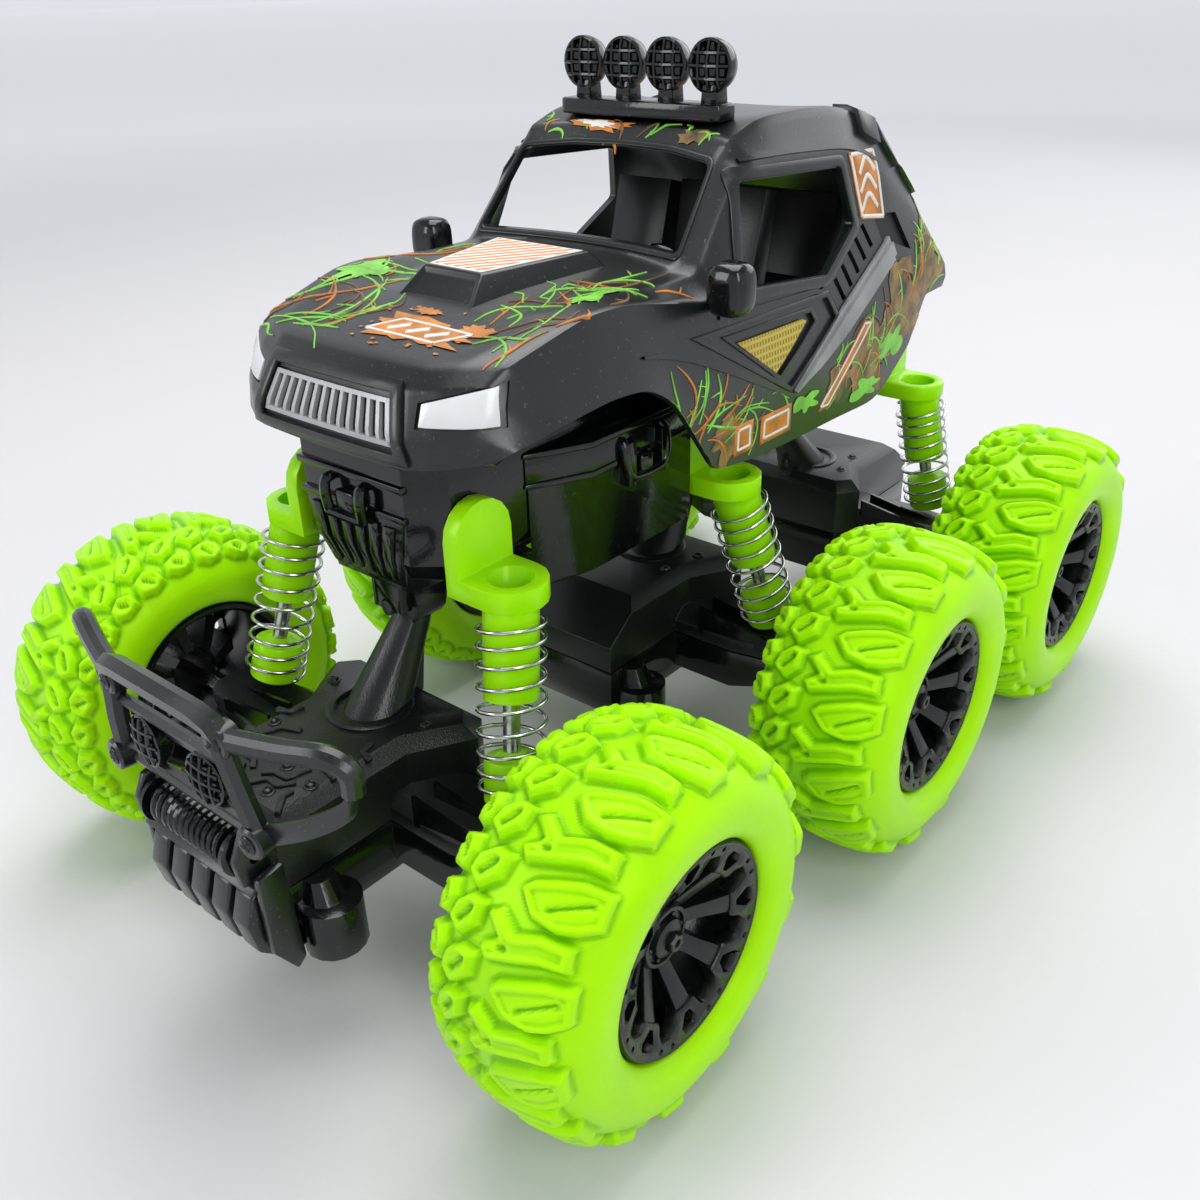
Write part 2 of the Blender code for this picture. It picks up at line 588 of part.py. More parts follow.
def body_shell():
    """Vacuum-thin moulding: one skin with open windows, thickened inwards."""
    sections = shell_sections()
    bm = bmesh.new()
    grid = {}
    for row, section in enumerate(sections):
        for column, point in enumerate(section):
            if point is None:
                continue
            x, y, z = point
            grid[row, column, 1] = bm.verts.new((x, y, z))
            grid[row, column, -1] = grid[row, column, 1] if x == 0 else bm.verts.new((-x, y, z))
    windscreen = {(7, 0), (7, 1)}
    side_windows = {(8, 3), (9, 3), (10, 3)}
    rows, columns = len(sections), len(sections[0])
    for row in range(rows - 1):
        for column in range(columns - 1):
            if (row, column) in windscreen | side_windows:
                continue
            for side in (1, -1):
                keys = [(row, column), (row, column + 1), (row + 1, column + 1), (row + 1, column)]
                corners = [grid.get((*key, side)) for key in keys]
                if None in corners:
                    corners = [c for c in corners if c is not None]
                    if len(corners) < 3 or column != 5:
                        continue
                bm.faces.new(corners if side > 0 else list(reversed(corners)))
    bmesh.ops.recalc_face_normals(bm, faces=bm.faces)
    return bm


def add_body_shell():
    obj = add_node("body_shell", body_shell(), (BLACK, 0.45, 0.0))
    wall = obj.modifiers.new("wall", "SOLIDIFY")
    wall.thickness = SHELL_WALL * MM
    wall.offset = -1.0
    wall.use_even_offset = True
    return obj


def light_bar():
    """Plate on four feet with four round lamps in a row."""
    y, z = 86.8, 143.6
    plate = block(-19.4, 19.4, y - 3.4, y + 3.4, z, z + 2.2)
    feet = [block(x - 1.6, x + 1.6, y - 1.6, y + 1.6, z - 1.4, z + 0.5) for x in (-15, 15)]
    lamps = []
    for x in (-15.4, -5.2, 5.2, 15.4):
        lamps.append(block(x - 1.5, x + 1.5, y - 1.4, y + 1.6, z + 1.5, z + 6.0))
        lamps.append(turned([(0, -3.0), (4.6, -3.0), (4.9, -2.4), (4.9, 1.0), (2.6, 4.0), (0, 4.0)],
                            (x, y, z + 8.0), (0, 1, 0), 16))
    return join(plate, *feet, *lamps)


def mirror_shell(side):
    """Rounded mirror housing on the corner of the door."""
    front = [(36.0, 114.6), (39.6, 114.6), (40.2, 116.0), (40.2, 120.4), (39.0, 121.8), (36.0, 121.8)]
    return loft([[(side * x, y, z) for x, z in front] for y in (62.6, 67.0)])


def bull_bar():
    """Tube guard with two swept wings, fixed to the front of the axle cover."""
    lamps = [turned([(0, -1.6), (4.3, -1.6), (4.6, 0), (3.2, 3.6), (0, 3.6)], (x, -35.0, 58.6), (0, 1, 0), 12)
             for x in (-8.6, 8.6)]
    bars = [rod((-15.4, -36.6, 69.8), (15.4, -36.6, 69.8), 1.9, 8),
            rod((-14.9, -36.8, 63.4), (14.9, -36.8, 63.4), 1.3, 8),
            rod((-17.6, -36.2, 52.6), (17.6, -36.2, 52.6), 1.7, 8)]
    plate = block(-13.0, 13.0, -36.4, -34.2, 51.4, 58.0)
    wings = []
    for side in SIDES.values():
        wings += [rod((side * 14.9, -37.4, 71.0), (side * 19.2, -36.2, 49.4), 1.8, 8),
                  rod((side * 15.0, -36.6, 70.0), (side * 36.4, -30.7, 70.2), 1.7, 8),
                  rod((side * 36.4, -30.7, 70.8), (side * 33.4, -31.0, 60.6), 1.5, 8),
                  rod((side * 33.6, -31.0, 61.4), (side * 18.6, -35.6, 51.4), 1.6, 8)]
    foot = [block(x - 2.0, x + 2.0, -36.0, -31.0, 48.4, 53.0) for x in (-9.0, 9.0)]
    return join(plate, *bars, *lamps, *wings, *foot)


def winch_drum():
    flange, core = 3.8, 2.9
    profile = [(0, -12.6), (flange, -12.6), (flange, -11.4), (core, -11.4), (core, 11.4), (flange, 11.4),
               (flange, 12.6), (0, 12.6)]
    return turned(profile, (0, -35.2, 44.0), (1, 0, 0), 12)


def power_switch():
    """Slider in its slot in the chassis floor, drawn in its off position."""
    knob = block(-1.3, 1.3, 129.7, 132.3, 74.4, 77.4)
    base = block(-2.8, 2.8, 128.5, 133.5, 77.0, 79.0)
    return join(base, knob)


def build():
    clear_scene()
    gloss = (BLACK, 0.25, 0.0)
    add_node("chassis_tub", chassis_tub(), gloss)
    add_body_shell()
    add_node("roof_light_bar", light_bar(), gloss)
    add_node("seat_tray", seat_tray(), (BLACK, 0.4, 0.0))
    add_node("steering_wheel", steering_wheel(), (BLACK, 0.4, 0.0))
    add_node("battery_pack", battery_pack(), (GREY, 0.5, 0.0))
    add_node("circuit_board", block(-12.5, 12.5, 96.0, 124.0, 81.0, 82.6), ((0.03, 0.22, 0.08), 0.5, 0.0))
    add_node("battery_door", block(-12.0, 12.0, 46.3, 81.7, 76.3, 78.6), gloss)
    switch_home = empty_at("power_switch_slide", (0, 131.0, 78.0))
    add_node("power_switch", power_switch(), (GREY, 0.4, 0.0), switch_home)
    for label, side in SIDES.items():
        add_node(f"{label}_side_box", side_box(side), gloss)
        add_node(f"{label}_mirror", mirror_shell(side), gloss)

    for name, axle in AXLES.items():
        pivot_z = PIVOT_Z[name]
        module = empty_at(f"{name}_axle_roll", (0, PIVOT_Y[name], pivot_z))
        wheelset = empty_at(f"{name}_wheels_spin", (0, axle, AXLE_HEIGHT))
        axle_cover(name, axle, pivot_z, module)
        axle_housing(name, axle, module)
        axle_shaft(name, axle, wheelset)
        if name != "middle":
            y, z = motor_place(name)
            motor_and_pinion(name, module, empty_at(f"{name}_pinion_spin", (0, y, z)))
        for label, side in SIDES.items():
            centre = (side * HALF_TRACK, axle, AXLE_HEIGHT)
            add_node(f"{name}_{label}_tyre", tyre(centre, side), (LIME, 0.5, 0.0), wheelset)
            add_node(f"{name}_{label}_rim", rim(centre, side), (BLACK, 0.35, 0.0), wheelset)
            add_node(f"{name}_{label}_shock_bracket", shock_bracket(name, side), (LIME, 0.35, 0.0))
            add_node(f"{name}_{label}_damper_rod", damper_rod(name, side), (LIME, 0.35, 0.0), module)
            add_node(f"{name}_{label}_spring", coil_spring(name, side), (STEEL, 0.25, 1.0))
        if name == "front":
            add_node("bull_bar", bull_bar(), (BLACK, 0.4, 0.0), module)
            add_node("winch_drum", winch_drum(), (BLACK, 0.4, 0.0), module)


build()
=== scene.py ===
"""Looks of the six-wheel climbing truck: detailed mouldings, wheels, springs, graphics and materials.

Shapes are drawn in millimetres, with y from the front axle and z from the floor, and TO_ROW then
places them in the CAD frame. +X is the truck's left side, -Y its front.
"""

import json
import math
import random

import bmesh
import bpy
import numpy as np
from mathutils import Matrix, Vector
from mathutils.bvhtree import BVHTree


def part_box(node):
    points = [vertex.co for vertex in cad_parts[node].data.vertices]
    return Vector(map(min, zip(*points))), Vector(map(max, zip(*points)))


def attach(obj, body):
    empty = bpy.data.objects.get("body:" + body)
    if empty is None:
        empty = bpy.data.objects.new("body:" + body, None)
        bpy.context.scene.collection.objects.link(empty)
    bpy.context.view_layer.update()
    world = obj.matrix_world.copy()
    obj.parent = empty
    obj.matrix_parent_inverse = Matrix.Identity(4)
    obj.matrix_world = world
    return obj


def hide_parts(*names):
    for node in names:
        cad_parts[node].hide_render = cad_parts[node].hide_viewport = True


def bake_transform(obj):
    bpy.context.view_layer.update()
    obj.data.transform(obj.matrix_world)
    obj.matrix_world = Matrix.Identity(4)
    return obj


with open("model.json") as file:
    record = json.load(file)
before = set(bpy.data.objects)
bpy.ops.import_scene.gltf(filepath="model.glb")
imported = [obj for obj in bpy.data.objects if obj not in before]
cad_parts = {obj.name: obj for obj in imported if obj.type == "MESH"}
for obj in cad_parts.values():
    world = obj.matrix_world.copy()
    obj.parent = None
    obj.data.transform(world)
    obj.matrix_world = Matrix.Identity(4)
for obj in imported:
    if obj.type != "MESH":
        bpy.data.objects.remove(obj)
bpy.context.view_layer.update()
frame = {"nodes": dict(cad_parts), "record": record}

MM = 0.001
RECORD = frame["record"]
BODY_OF = {node: body for body, nodes in RECORD["behaviour"]["bodies"].items() for node in nodes}
SIDES = {"left": 1, "right": -1}
SIDE_NAME = {1: "left", -1: "right"}
PLACES = ("front", "middle", "rear")


def box_mm(node):
    """Lowest and highest corner of a CAD node, in the drawing's millimetres."""
    low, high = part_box(node)
    return [Vector((p.x, p.y - FRONT_Y, p.z)) / MM for p in (low, high)]


FRONT_Y = sum(p.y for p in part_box("front_axle_shaft")) / 2
TO_ROW = Matrix.Translation((0, FRONT_Y, 0)) @ Matrix.Scale(MM, 4)
AXLE_Y = {name: sum(p.y for p in box_mm(f"{name}_axle_shaft")) / 2 for name in PLACES}
AXLE_Z = sum(p.z for p in box_mm("front_axle_shaft")) / 2
TRACK = sum(p.x for p in box_mm("front_left_tyre")) / 2
TYRE_RADIUS = AXLE_Z

# ---------------------------------------------------------------- materials


FINISH = {}


class Recipe:
    """A new material, kept in FINISH under its name."""

    def __init__(self, name):
        material = bpy.data.materials.new(name)
        material.use_nodes = True
        self.tree = material.node_tree
        self.shader = self.tree.nodes["Principled BSDF"]
        FINISH[name] = material

    def feed(self, node, sockets):
        """Gives each named socket of a node its value or another node's output."""
        for key, value in sockets.items():
            if isinstance(value, bpy.types.NodeSocket):
                self.tree.links.new(value, node.inputs[key])
            else:
                node.inputs[key].default_value = value

    def add(self, kind, sockets=(), **settings):
        node = self.tree.nodes.new(f"ShaderNode{kind}")
        for key, value in settings.items():
            setattr(node, key, value)
        self.feed(node, dict(sockets))
        return node

    def place(self):
        """The piece's own coordinates."""
        return self.add("TexCoord").outputs["Object"]

    def noise(self, size, detail=3.0):
        """Noise whose features are about size metres wide."""
        sockets = {"Vector": self.place(), "Scale": 0.5 / size, "Detail": detail}
        return self.add("TexNoise", sockets).outputs["Fac"]

    def ramp(self, source, *stops):
        """Two colours, each given with its place, blended along a source."""
        ramp = self.add("ValToRGB", {"Fac": source})
        for element, (place, colour) in zip(ramp.color_ramp.elements, stops):
            element.position, element.color = place, (*colour, 1)
        return ramp.outputs["Color"]

    def mix(self, first, second, share, blend="MIX"):
        sockets = {"Factor": share, 6: first, 7: second}
        return self.add("Mix", sockets, data_type="RGBA", blend_type=blend).outputs[2]

    def bump(self, height, strength, distance, invert=False):
        sockets = {"Height": height, "Strength": strength, "Distance": distance}
        self.feed(self.shader, {"Normal": self.add("Bump", sockets, invert=invert).outputs["Normal"]})


def moulded(name, colour, roughness, grain=0.15, grain_size=0.00025, mottle=0.12, sheen_spread=0.06,
            dust=0.0, metallic=0.0, subsurface=0.0, coat=0.0, mottle_size=0.006, sheen_tint=None,
            painted_crease_shade=None):
    """Moulded plastic: mottled colour, fine surface grain, uneven gloss, a little pale dust and, if asked,
    painted shade darkening concave creases.
    """
    made, base = Recipe(name), Vector(colour)
    cloud = made.noise(mottle_size)
    surface = made.ramp(cloud, (0.3, base * (1 - mottle)), (0.7, base * (1 + mottle)))
    # Painted shade: the colour darkens where the surface is concave (low pointiness), in grooves and creases.
    if painted_crease_shade:
        shape = made.add("NewGeometry").outputs["Pointiness"]
        surface = made.mix(surface, made.ramp(shape, (0.44, painted_crease_shade), (0.505, (1, 1, 1))), 1.0, "MULTIPLY")
    if dust:
        specks = made.ramp(made.noise(0.00035, 1.0), (0.70, (0, 0, 0)), (0.76, (1, 1, 1)))
        share = made.add("Math", {0: specks, 1: dust}, operation="MULTIPLY").outputs[0]
        surface = made.mix(surface, (0.5, 0.5, 0.48, 1), share)
    gloss = made.add("MapRange", {"Value": cloud, "To Min": max(0.03, roughness - sheen_spread),
                                  "To Max": roughness + sheen_spread}).outputs["Result"]
    made.bump(made.noise(grain_size, 2.0), grain, grain_size)
    made.feed(made.shader, {"Base Color": surface, "Roughness": gloss, "Metallic": metallic,
                            "Coat Weight": coat, "Coat Roughness": 0.2})
    if sheen_tint:
        made.feed(made.shader, {"Specular Tint": (*sheen_tint, 1)})
    if subsurface:
        made.feed(made.shader, {"Subsurface Weight": subsurface, "Subsurface Radius": (1.0, 1.0, 0.3),
                                "Subsurface Scale": 0.002})
    return made


def leather_grain(name, colour, roughness):
    """Black plastic from a mould etched with a pebbled leather grain."""
    made, base = Recipe(name), Vector(colour)
    pebbles_per_metre = 3300
    pebbles = made.add("TexVoronoi", {"Vector": made.place(), "Scale": pebbles_per_metre},
                       feature="SMOOTH_F1").outputs["Distance"]
    tone = made.ramp(pebbles, (0.1, base * 1.5), (0.6, base * 0.7))
    made.feed(made.shader, {"Base Color": tone, "Roughness": roughness})
    made.bump(pebbles, 0.34, 0.00013, invert=True)


def striped(name, dark, light, pitch, share, angle, crossed=False):
    """Two colours in straight bands, or in a mesh of crossed bands."""
    made = Recipe(name)
    turned_place = made.add("Mapping", {"Vector": made.place(), "Rotation": angle}).outputs["Vector"]
    sockets = {"Vector": turned_place, "Scale": 0.314 / pitch, "Distortion": 0.2 if crossed else 0.6,
               "Detail Scale": 0.4 / pitch}
    bands = [made.add("TexWave", sockets, bands_direction=way).outputs["Fac"]
             for way in ("XZ" if crossed else "X")]
    pattern = bands[0]
    if crossed:
        pattern = made.add("Math", dict(enumerate(bands)), operation="MAXIMUM").outputs[0]
    tone = made.ramp(pattern, (share - 0.08, dark), (share + 0.08, light))
    made.feed(made.shader, {"Base Color": tone, "Roughness": 0.45})
    made.bump(pattern, 0.3, 0.0002)


# The tyre gets painted shade in its grooves and creases.
moulded("lime_tyre", (0.37, 0.82, 0.002), 0.38, 0.12, 0.0004, 0.06, 0.08, 0.04, subsurface=0.08,
        mottle_size=0.012, sheen_tint=(0.75, 1.0, 0.12), painted_crease_shade=(0.30, 0.48, 0.3))
moulded("lime_plastic", (0.34, 0.80, 0.003), 0.26, 0.05, 0.0005, 0.05, 0.05, subsurface=0.08,
        sheen_tint=(0.8, 1.0, 0.3))
moulded("black_rim", (0.0045, 0.005, 0.0053), 0.28, 0.25, 0.0002, 0.2, 0.08, 0.05)
moulded("satin_black", (0.0050, 0.0068, 0.0070), 0.30, 0.10, 0.00022, 0.18, 0.05, 0.10, coat=0.22)
moulded("gloss_black", (0.003, 0.0038, 0.0040), 0.13, 0.05, 0.0004, 0.2, 0.05, 0.05)
leather_grain("textured_black", (0.0055, 0.0068, 0.007), 0.31)
moulded("cabin_black", (0.0045, 0.005, 0.005), 0.34, 0.1, 0.0003, 0.2, 0.08, 0.03)
moulded("spring_steel", (0.62, 0.62, 0.61), 0.16, 0.06, 0.0003, 0.08, 0.05, metallic=1.0)
moulded("shaft_steel", (0.55, 0.55, 0.54), 0.24, 0.1, 0.0002, 0.1, 0.06, metallic=1.0)
moulded("cream_plastic", (0.70, 0.68, 0.60), 0.4, 0.1, subsurface=0.15)
moulded("battery_grey", (0.11, 0.11, 0.12), 0.5)
moulded("board_green", (0.02, 0.13, 0.04), 0.35)
moulded("silver_paint", (0.40, 0.41, 0.42), 0.34, 0.12, 0.0003, 0.06, 0.05, metallic=0.35)
moulded("headlight", (0.66, 0.67, 0.68), 0.22, 0.06, 0.0006, 0.05, 0.04, coat=0.4)
moulded("grey_trim", (0.24, 0.245, 0.25), 0.30, 0.2, 0.0003, 0.25, 0.08)
# Near-black for recess floors, the pocket, the slat sheet and bolt slots: painted shade where these would be
# in shadow.
moulded("painted_shade_black", (0.004, 0.004, 0.004), 0.6, 0.2)
moulded("print_lime", (0.19, 0.55, 0.05), 0.42, 0.1, 0.0002, 0.3, mottle_size=0.003)
moulded("print_orange", (0.50, 0.17, 0.015), 0.42, 0.1, 0.0002, 0.35, mottle_size=0.002)
moulded("print_brown", (0.16, 0.075, 0.025), 0.45, 0.1, 0.0002, 0.45, mottle_size=0.003)
moulded("print_haze", (0.19, 0.11, 0.032), 0.42, 0.1, 0.0002, 0.85, dust=0.03, mottle_size=0.0022)
moulded("print_white", (0.72, 0.70, 0.66), 0.42, 0.1, 0.0002, 0.08)
moulded("tail_lamp", (0.26, 0.012, 0.008), 0.15, 0.06, 0.0006, 0.15, 0.04, coat=0.5)
striped("hatched_panel", (0.72, 0.20, 0.05), (0.80, 0.74, 0.66), 0.0021, 0.5, (0, 0, math.radians(35)))
striped("mesh_gold", (0.24, 0.17, 0.012), (0.50, 0.38, 0.045), 0.0010, 0.62,
        (math.radians(90), 0, math.radians(50)), crossed=True)

# ---------------------------------------------------------------- drawing kit


def join(*parts):
    """All the drawings in one."""
    whole = parts[0]
    for part in parts[1:]:
        mesh = bpy.data.meshes.new("part")
        part.to_mesh(mesh)
        part.free()
        whole.from_mesh(mesh)
        bpy.data.meshes.remove(mesh)
    return whole


def loft(rings, caps=True, closed=False):
    """Skin over rings of points; closed joins the last ring to the first."""
    bm = bmesh.new()
    grid = [[bm.verts.new(p) for p in ring] for ring in rings]
    count = len(grid[0])
    pairs = list(zip(grid, grid[1:])) + ([(grid[-1], grid[0])] if closed else [])
    for low, high in pairs:
        for k in range(count):
            j = (k + 1) % count
            bm.faces.new((low[k], low[j], high[j], high[k]))
    if caps and not closed:
        bm.faces.new(list(reversed(grid[0])))
        bm.faces.new(grid[-1])
    bmesh.ops.recalc_face_normals(bm, faces=bm.faces)
    return bm


def slab(outline, low, high, axis="z"):
    """Outline pushed out between two heights, along z, or along y from an (x, z) outline,
    or along x from a (y, z) outline."""
    place = {"z": lambda a, b, h: (a, b, h), "y": lambda a, b, h: (a, h, b),
             "x": lambda a, b, h: (h, a, b)}[axis]
    return loft([[place(a, b, h) for a, b in outline] for h in (low, high)])


def trapezoid(low_half, low, high_half, high):
    """Outline about the middle line, with half its width at two heights."""
    return [(-low_half, low), (low_half, low), (high_half, high), (-high_half, high)]


def rectangle(x0, y0, x1, y1):
    return [(x0, y0), (x1, y0), (x1, y1), (x0, y1)]


def block(x0, x1, y0, y1, z0, z1):
    return slab(rectangle(x0, y0, x1, y1), z0, z1)


def sided(side, points):
    """Points of the left side, or their mirror images."""
    return [(side * p[0], *p[1:]) for p in points]


def frame_along(direction):
    """Turn that carries +Z to a direction."""
    return Vector((0, 0, 1)).rotation_difference(Vector(direction)).to_matrix().to_4x4()


def turned(profile, centre, direction, facets=32):
    """Profile of (radius, height) turned about an axis; a zero radius closes to a point."""
    bm = bmesh.new()
    place = Matrix.Translation(Vector(centre)) @ frame_along(direction)
    angles = [2 * math.pi * k / facets for k in range(facets)]
    rings = []
    for radius, height in profile:
        spots = [(radius * math.cos(a), radius * math.sin(a), height) for a in (angles if radius else [0])]
        rings.append([bm.verts.new(place @ Vector(spot)) for spot in spots])
    for low, high in zip(rings, rings[1:] + ([rings[0]] if profile[0][0] else [])):
        for k in range(facets):
            j = (k + 1) % facets
            corners = [low[k % len(low)], low[j % len(low)], high[j % len(high)], high[k % len(high)]]
            corners = list(dict.fromkeys(corners))
            if len(corners) > 2:
                bm.faces.new(corners)
    bmesh.ops.recalc_face_normals(bm, faces=bm.faces)
    return bm


def tube(points, radius, sides=10, closed=False):
    """Round bar that follows points; radius is one number or one for each point."""
    points = [Vector(p) for p in points]
    radii = radius if hasattr(radius, "__len__") else [radius] * len(points)
    rings, side = [], None
    for k, point in enumerate(points):
        after = points[(k + 1) % len(points)] if closed or k + 1 < len(points) else point
        before = points[k - 1] if closed or k else point
        tangent = (after - before).normalized()
        if side is None:
            side = tangent.orthogonal().normalized()
        side = (side - tangent * side.dot(tangent)).normalized()
        other = tangent.cross(side)
        rings.append([point + radii[k] * (side * math.cos(a) + other * math.sin(a))
                      for a in (2 * math.pi * s / sides for s in range(sides))])
    return loft(rings, closed=closed)


def smooth_path(points, steps=6):
    """Catmull-Rom line through points."""
    points = [Vector(p) for p in points]
    padded = [2 * points[0] - points[1], *points, 2 * points[-1] - points[-2]]
    line = []
    for a, b, c, d in zip(padded, padded[1:], padded[2:], padded[3:]):
        for k in range(steps):
            t = k / steps
            line.append(0.5 * (2 * b + (c - a) * t + (2 * a - 5 * b + 4 * c - d) * t * t
                               + (3 * b - a - 3 * c + d) * t ** 3))
    return line + [points[-1]]


def round_edges(bm, width, segments=2, angle=28):
    """Rounds every corner sharper than angle, after joining flat facets."""
    bmesh.ops.remove_doubles(bm, verts=bm.verts, dist=1e-4)
    bmesh.ops.dissolve_limit(bm, angle_limit=math.radians(1.5), verts=bm.verts, edges=bm.edges)
    corners = [e for e in bm.edges if len(e.link_faces) == 2 and e.calc_face_angle(0) > math.radians(angle)]
    bmesh.ops.bevel(bm, geom=corners, offset=width, segments=segments, profile=0.5, affect="EDGES",
                    clamp_overlap=True)
    return bm


def piece(name, bm, finish, body="chassis", stands_for=(), smooth=42):
    """A visible piece that rides on a body and may stand for CAD nodes."""
    bm.transform(TO_ROW)
    mesh = bpy.data.meshes.new(name)
    bm.to_mesh(mesh)
    bm.free()
    return place_mesh(name, mesh, finish, body, stands_for, smooth)


def place_mesh(name, mesh, finish, body, stands_for=(), smooth=42):
    """A finished mesh put in the scene; edges sharper than smooth degrees stay crisp."""
    mesh.shade_smooth()
    mesh.set_sharp_from_angle(angle=math.radians(smooth))
    if not mesh.materials:
        mesh.materials.append(FINISH[finish])
    made = bpy.data.objects.new(name, mesh)
    bpy.context.collection.objects.link(made)
    if body:
        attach(made, body)
    if stands_for:
        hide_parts(*stands_for)
    return made


def refined(node, finish, width, extra=()):
    """A CAD node redrawn with rounded moulded corners and added detail."""
    bm = bmesh.new()
    bm.from_mesh(frame["nodes"][node].data)
    bm.transform(TO_ROW.inverted())
    piece(f"{node}_moulding", join(round_edges(bm, width), *extra), finish, BODY_OF[node], (node,))


# ---------------------------------------------------------------- tyres

TREAD_REPEATS = 14
LUG_HEIGHT = 1.95
TREAD_PITCH = 2 * math.pi * 33.0 / TREAD_REPEATS
POINTS_PER_REPEAT = 40
POINTS_ACROSS = 132
HALF_WIDTH = 15.3
# Corners of each tread block as (along the tread, across it); across grows towards the outer side.
TREAD_BLOCKS = [
    [(3.6, 0.2), (0.6, 3.4), (0.2, 7.6), (1.2, 10.4), (3.2, 13.2), (8.8, 12.8), (8.2, 8.4), (6.6, 4.6),
     (5.2, 1.6)],
    [(8.6, -2.9), (6.9, -1.3), (8.3, 2.6), (10.0, 7.0), (10.6, 11.2), (14.2, 10.6), (13.9, 6.0), (12.2, 2.0),
     (14.4, -1.4), (13.2, -3.2), (10.8, -0.2)],
    [(0.3, -6.6), (3.0, -3.6), (6.6, -3.4), (6.9, -6.2), (5.0, -8.6), (2.0, -9.2)],
    [(7.8, -7.0), (10.4, -4.6), (14.0, -4.4), (14.4, -6.8), (12.4, -9.0), (9.4, -9.8)],
    [(1.6, -10.4), (4.6, -9.6), (7.2, -10.6), (7.0, -13.4), (3.8, -14.2), (0.9, -13.2)],
    [(9.2, -10.8), (12.2, -10.0), (14.6, -11.2), (14.0, -13.6), (10.6, -13.9), (8.4, -12.8)],
]
TREAD_SLOTS = [((2.6, 5.6), (5.8, 10.6)), ((9.9, -1.7), (9.8, 1.2)), ((2.4, -7.2), (5.0, -5.2)),
               ((9.8, -7.8), (12.4, -6.0)), ((3.4, -11.2), (4.8, -13.0)), ((11.0, -11.4), (12.2, -12.8))]
TYRE_SECTION = [(9.8, 18.6), (11.6, 18.7), (13.2, 19.3), (14.5, 21.0), (15.0, 23.6), (14.7, 26.0),
                (13.4, 28.3), (11.2, 30.2), (8.0, 31.4), (4.4, 31.9), (0.0, 32.05)]


def edge_distance(s, v, start, end):
    """Distance of every grid point from a line between two points."""
    along = np.array(end) - np.array(start)
    t = np.clip(((s - start[0]) * along[0] + (v - start[1]) * along[1]) / along.dot(along), 0, 1)
    return np.hypot(s - start[0] - t * along[0], v - start[1] - t * along[1])


def soft_step(low, high, value):
    """0 below low, 1 above high and a smooth rise between."""
    t = np.clip((value - low) / (high - low), 0, 1)
    return t * t * (3 - 2 * t)


def tread_height(s, v):
    """Height of the tread over the carcass: blocks with a raised border and a slot."""
    height = np.zeros_like(s)
    for block_corners, slot_line in zip(TREAD_BLOCKS, TREAD_SLOTS):
        for shift in (-TREAD_PITCH, 0, TREAD_PITCH):
            corners = [(a + shift, b) for a, b in block_corners]
            inside = np.zeros(s.shape, bool)
            distance = np.full(s.shape, 1e9)
            for (a0, b0), (a1, b1) in zip(corners, corners[1:] + corners[:1]):
                distance = np.minimum(distance, edge_distance(s, v, (a0, b0), (a1, b1)))
                crosses = (b0 > v) != (b1 > v)
                reach = a0 + (v - b0) * (a1 - a0) / (b1 - b0 if b1 != b0 else 1e-9)
                inside ^= crosses & (s < reach)
            depth = np.where(inside, distance, -distance)
            slot_distance = edge_distance(s, v, *[(a + shift, b) for a, b in slot_line])
            top = 1 - 0.19 * soft_step(0.8, 1.5, depth) - 0.32 * (1 - soft_step(0.2, 0.65, slot_distance))
            height = np.maximum(height, soft_step(-0.60, 0.65, depth) * top)
    return height * LUG_HEIGHT


def tyre_drawing():
    """Balloon tyre about its own middle, outer side towards +X, with moulded tread blocks."""
    half = smooth_path([(x, 0, r) for x, r in TYRE_SECTION], 6)
    section = [(-p.x, p.z) for p in half] + [(p.x, p.z) for p in reversed(half[:-1])]
    xs, rs = (np.array(values) for values in zip(*section))
    across = np.concatenate([[0], np.cumsum(np.hypot(np.diff(xs), np.diff(rs)))])
    across -= across[len(across) // 2]
    steps = np.linspace(across[0], across[-1], POINTS_ACROSS)
    xs, rs = np.interp(steps, across, xs), np.interp(steps, across, rs)
    tangent_x, tangent_r = np.gradient(xs), np.gradient(rs)
    length = np.hypot(tangent_x, tangent_r)
    normal_x, normal_r = -tangent_r / length, tangent_x / length
    along = (np.arange(POINTS_PER_REPEAT) + 0.5) / POINTS_PER_REPEAT * TREAD_PITCH
    s, v = np.meshgrid(along, steps, indexing="ij")
    height = tread_height(s, v)
    rings = []
    count = TREAD_REPEATS * POINTS_PER_REPEAT
    for k in range(count):
        angle = 2 * math.pi * k / count
        lift = height[k % POINTS_PER_REPEAT]
        radius = np.minimum(rs + normal_r * lift, TYRE_RADIUS)
        sideways = np.clip(xs + normal_x * lift, -HALF_WIDTH, HALF_WIDTH)
        rings.append([(x, r * math.sin(angle), r * math.cos(angle)) for x, r in zip(sideways, radius)])
    bm = bmesh.new()
    grid = [[bm.verts.new(p) for p in ring] for ring in rings]
    for low, high in zip(grid, grid[1:] + grid[:1]):
        for k in range(len(low)):
            j = (k + 1) % len(low)
            bm.faces.new((low[k], high[k], high[j], low[j]))
    bmesh.ops.recalc_face_normals(bm, faces=bm.faces)
    return bm


# ---------------------------------------------------------------- wheels

SPOKES = 8
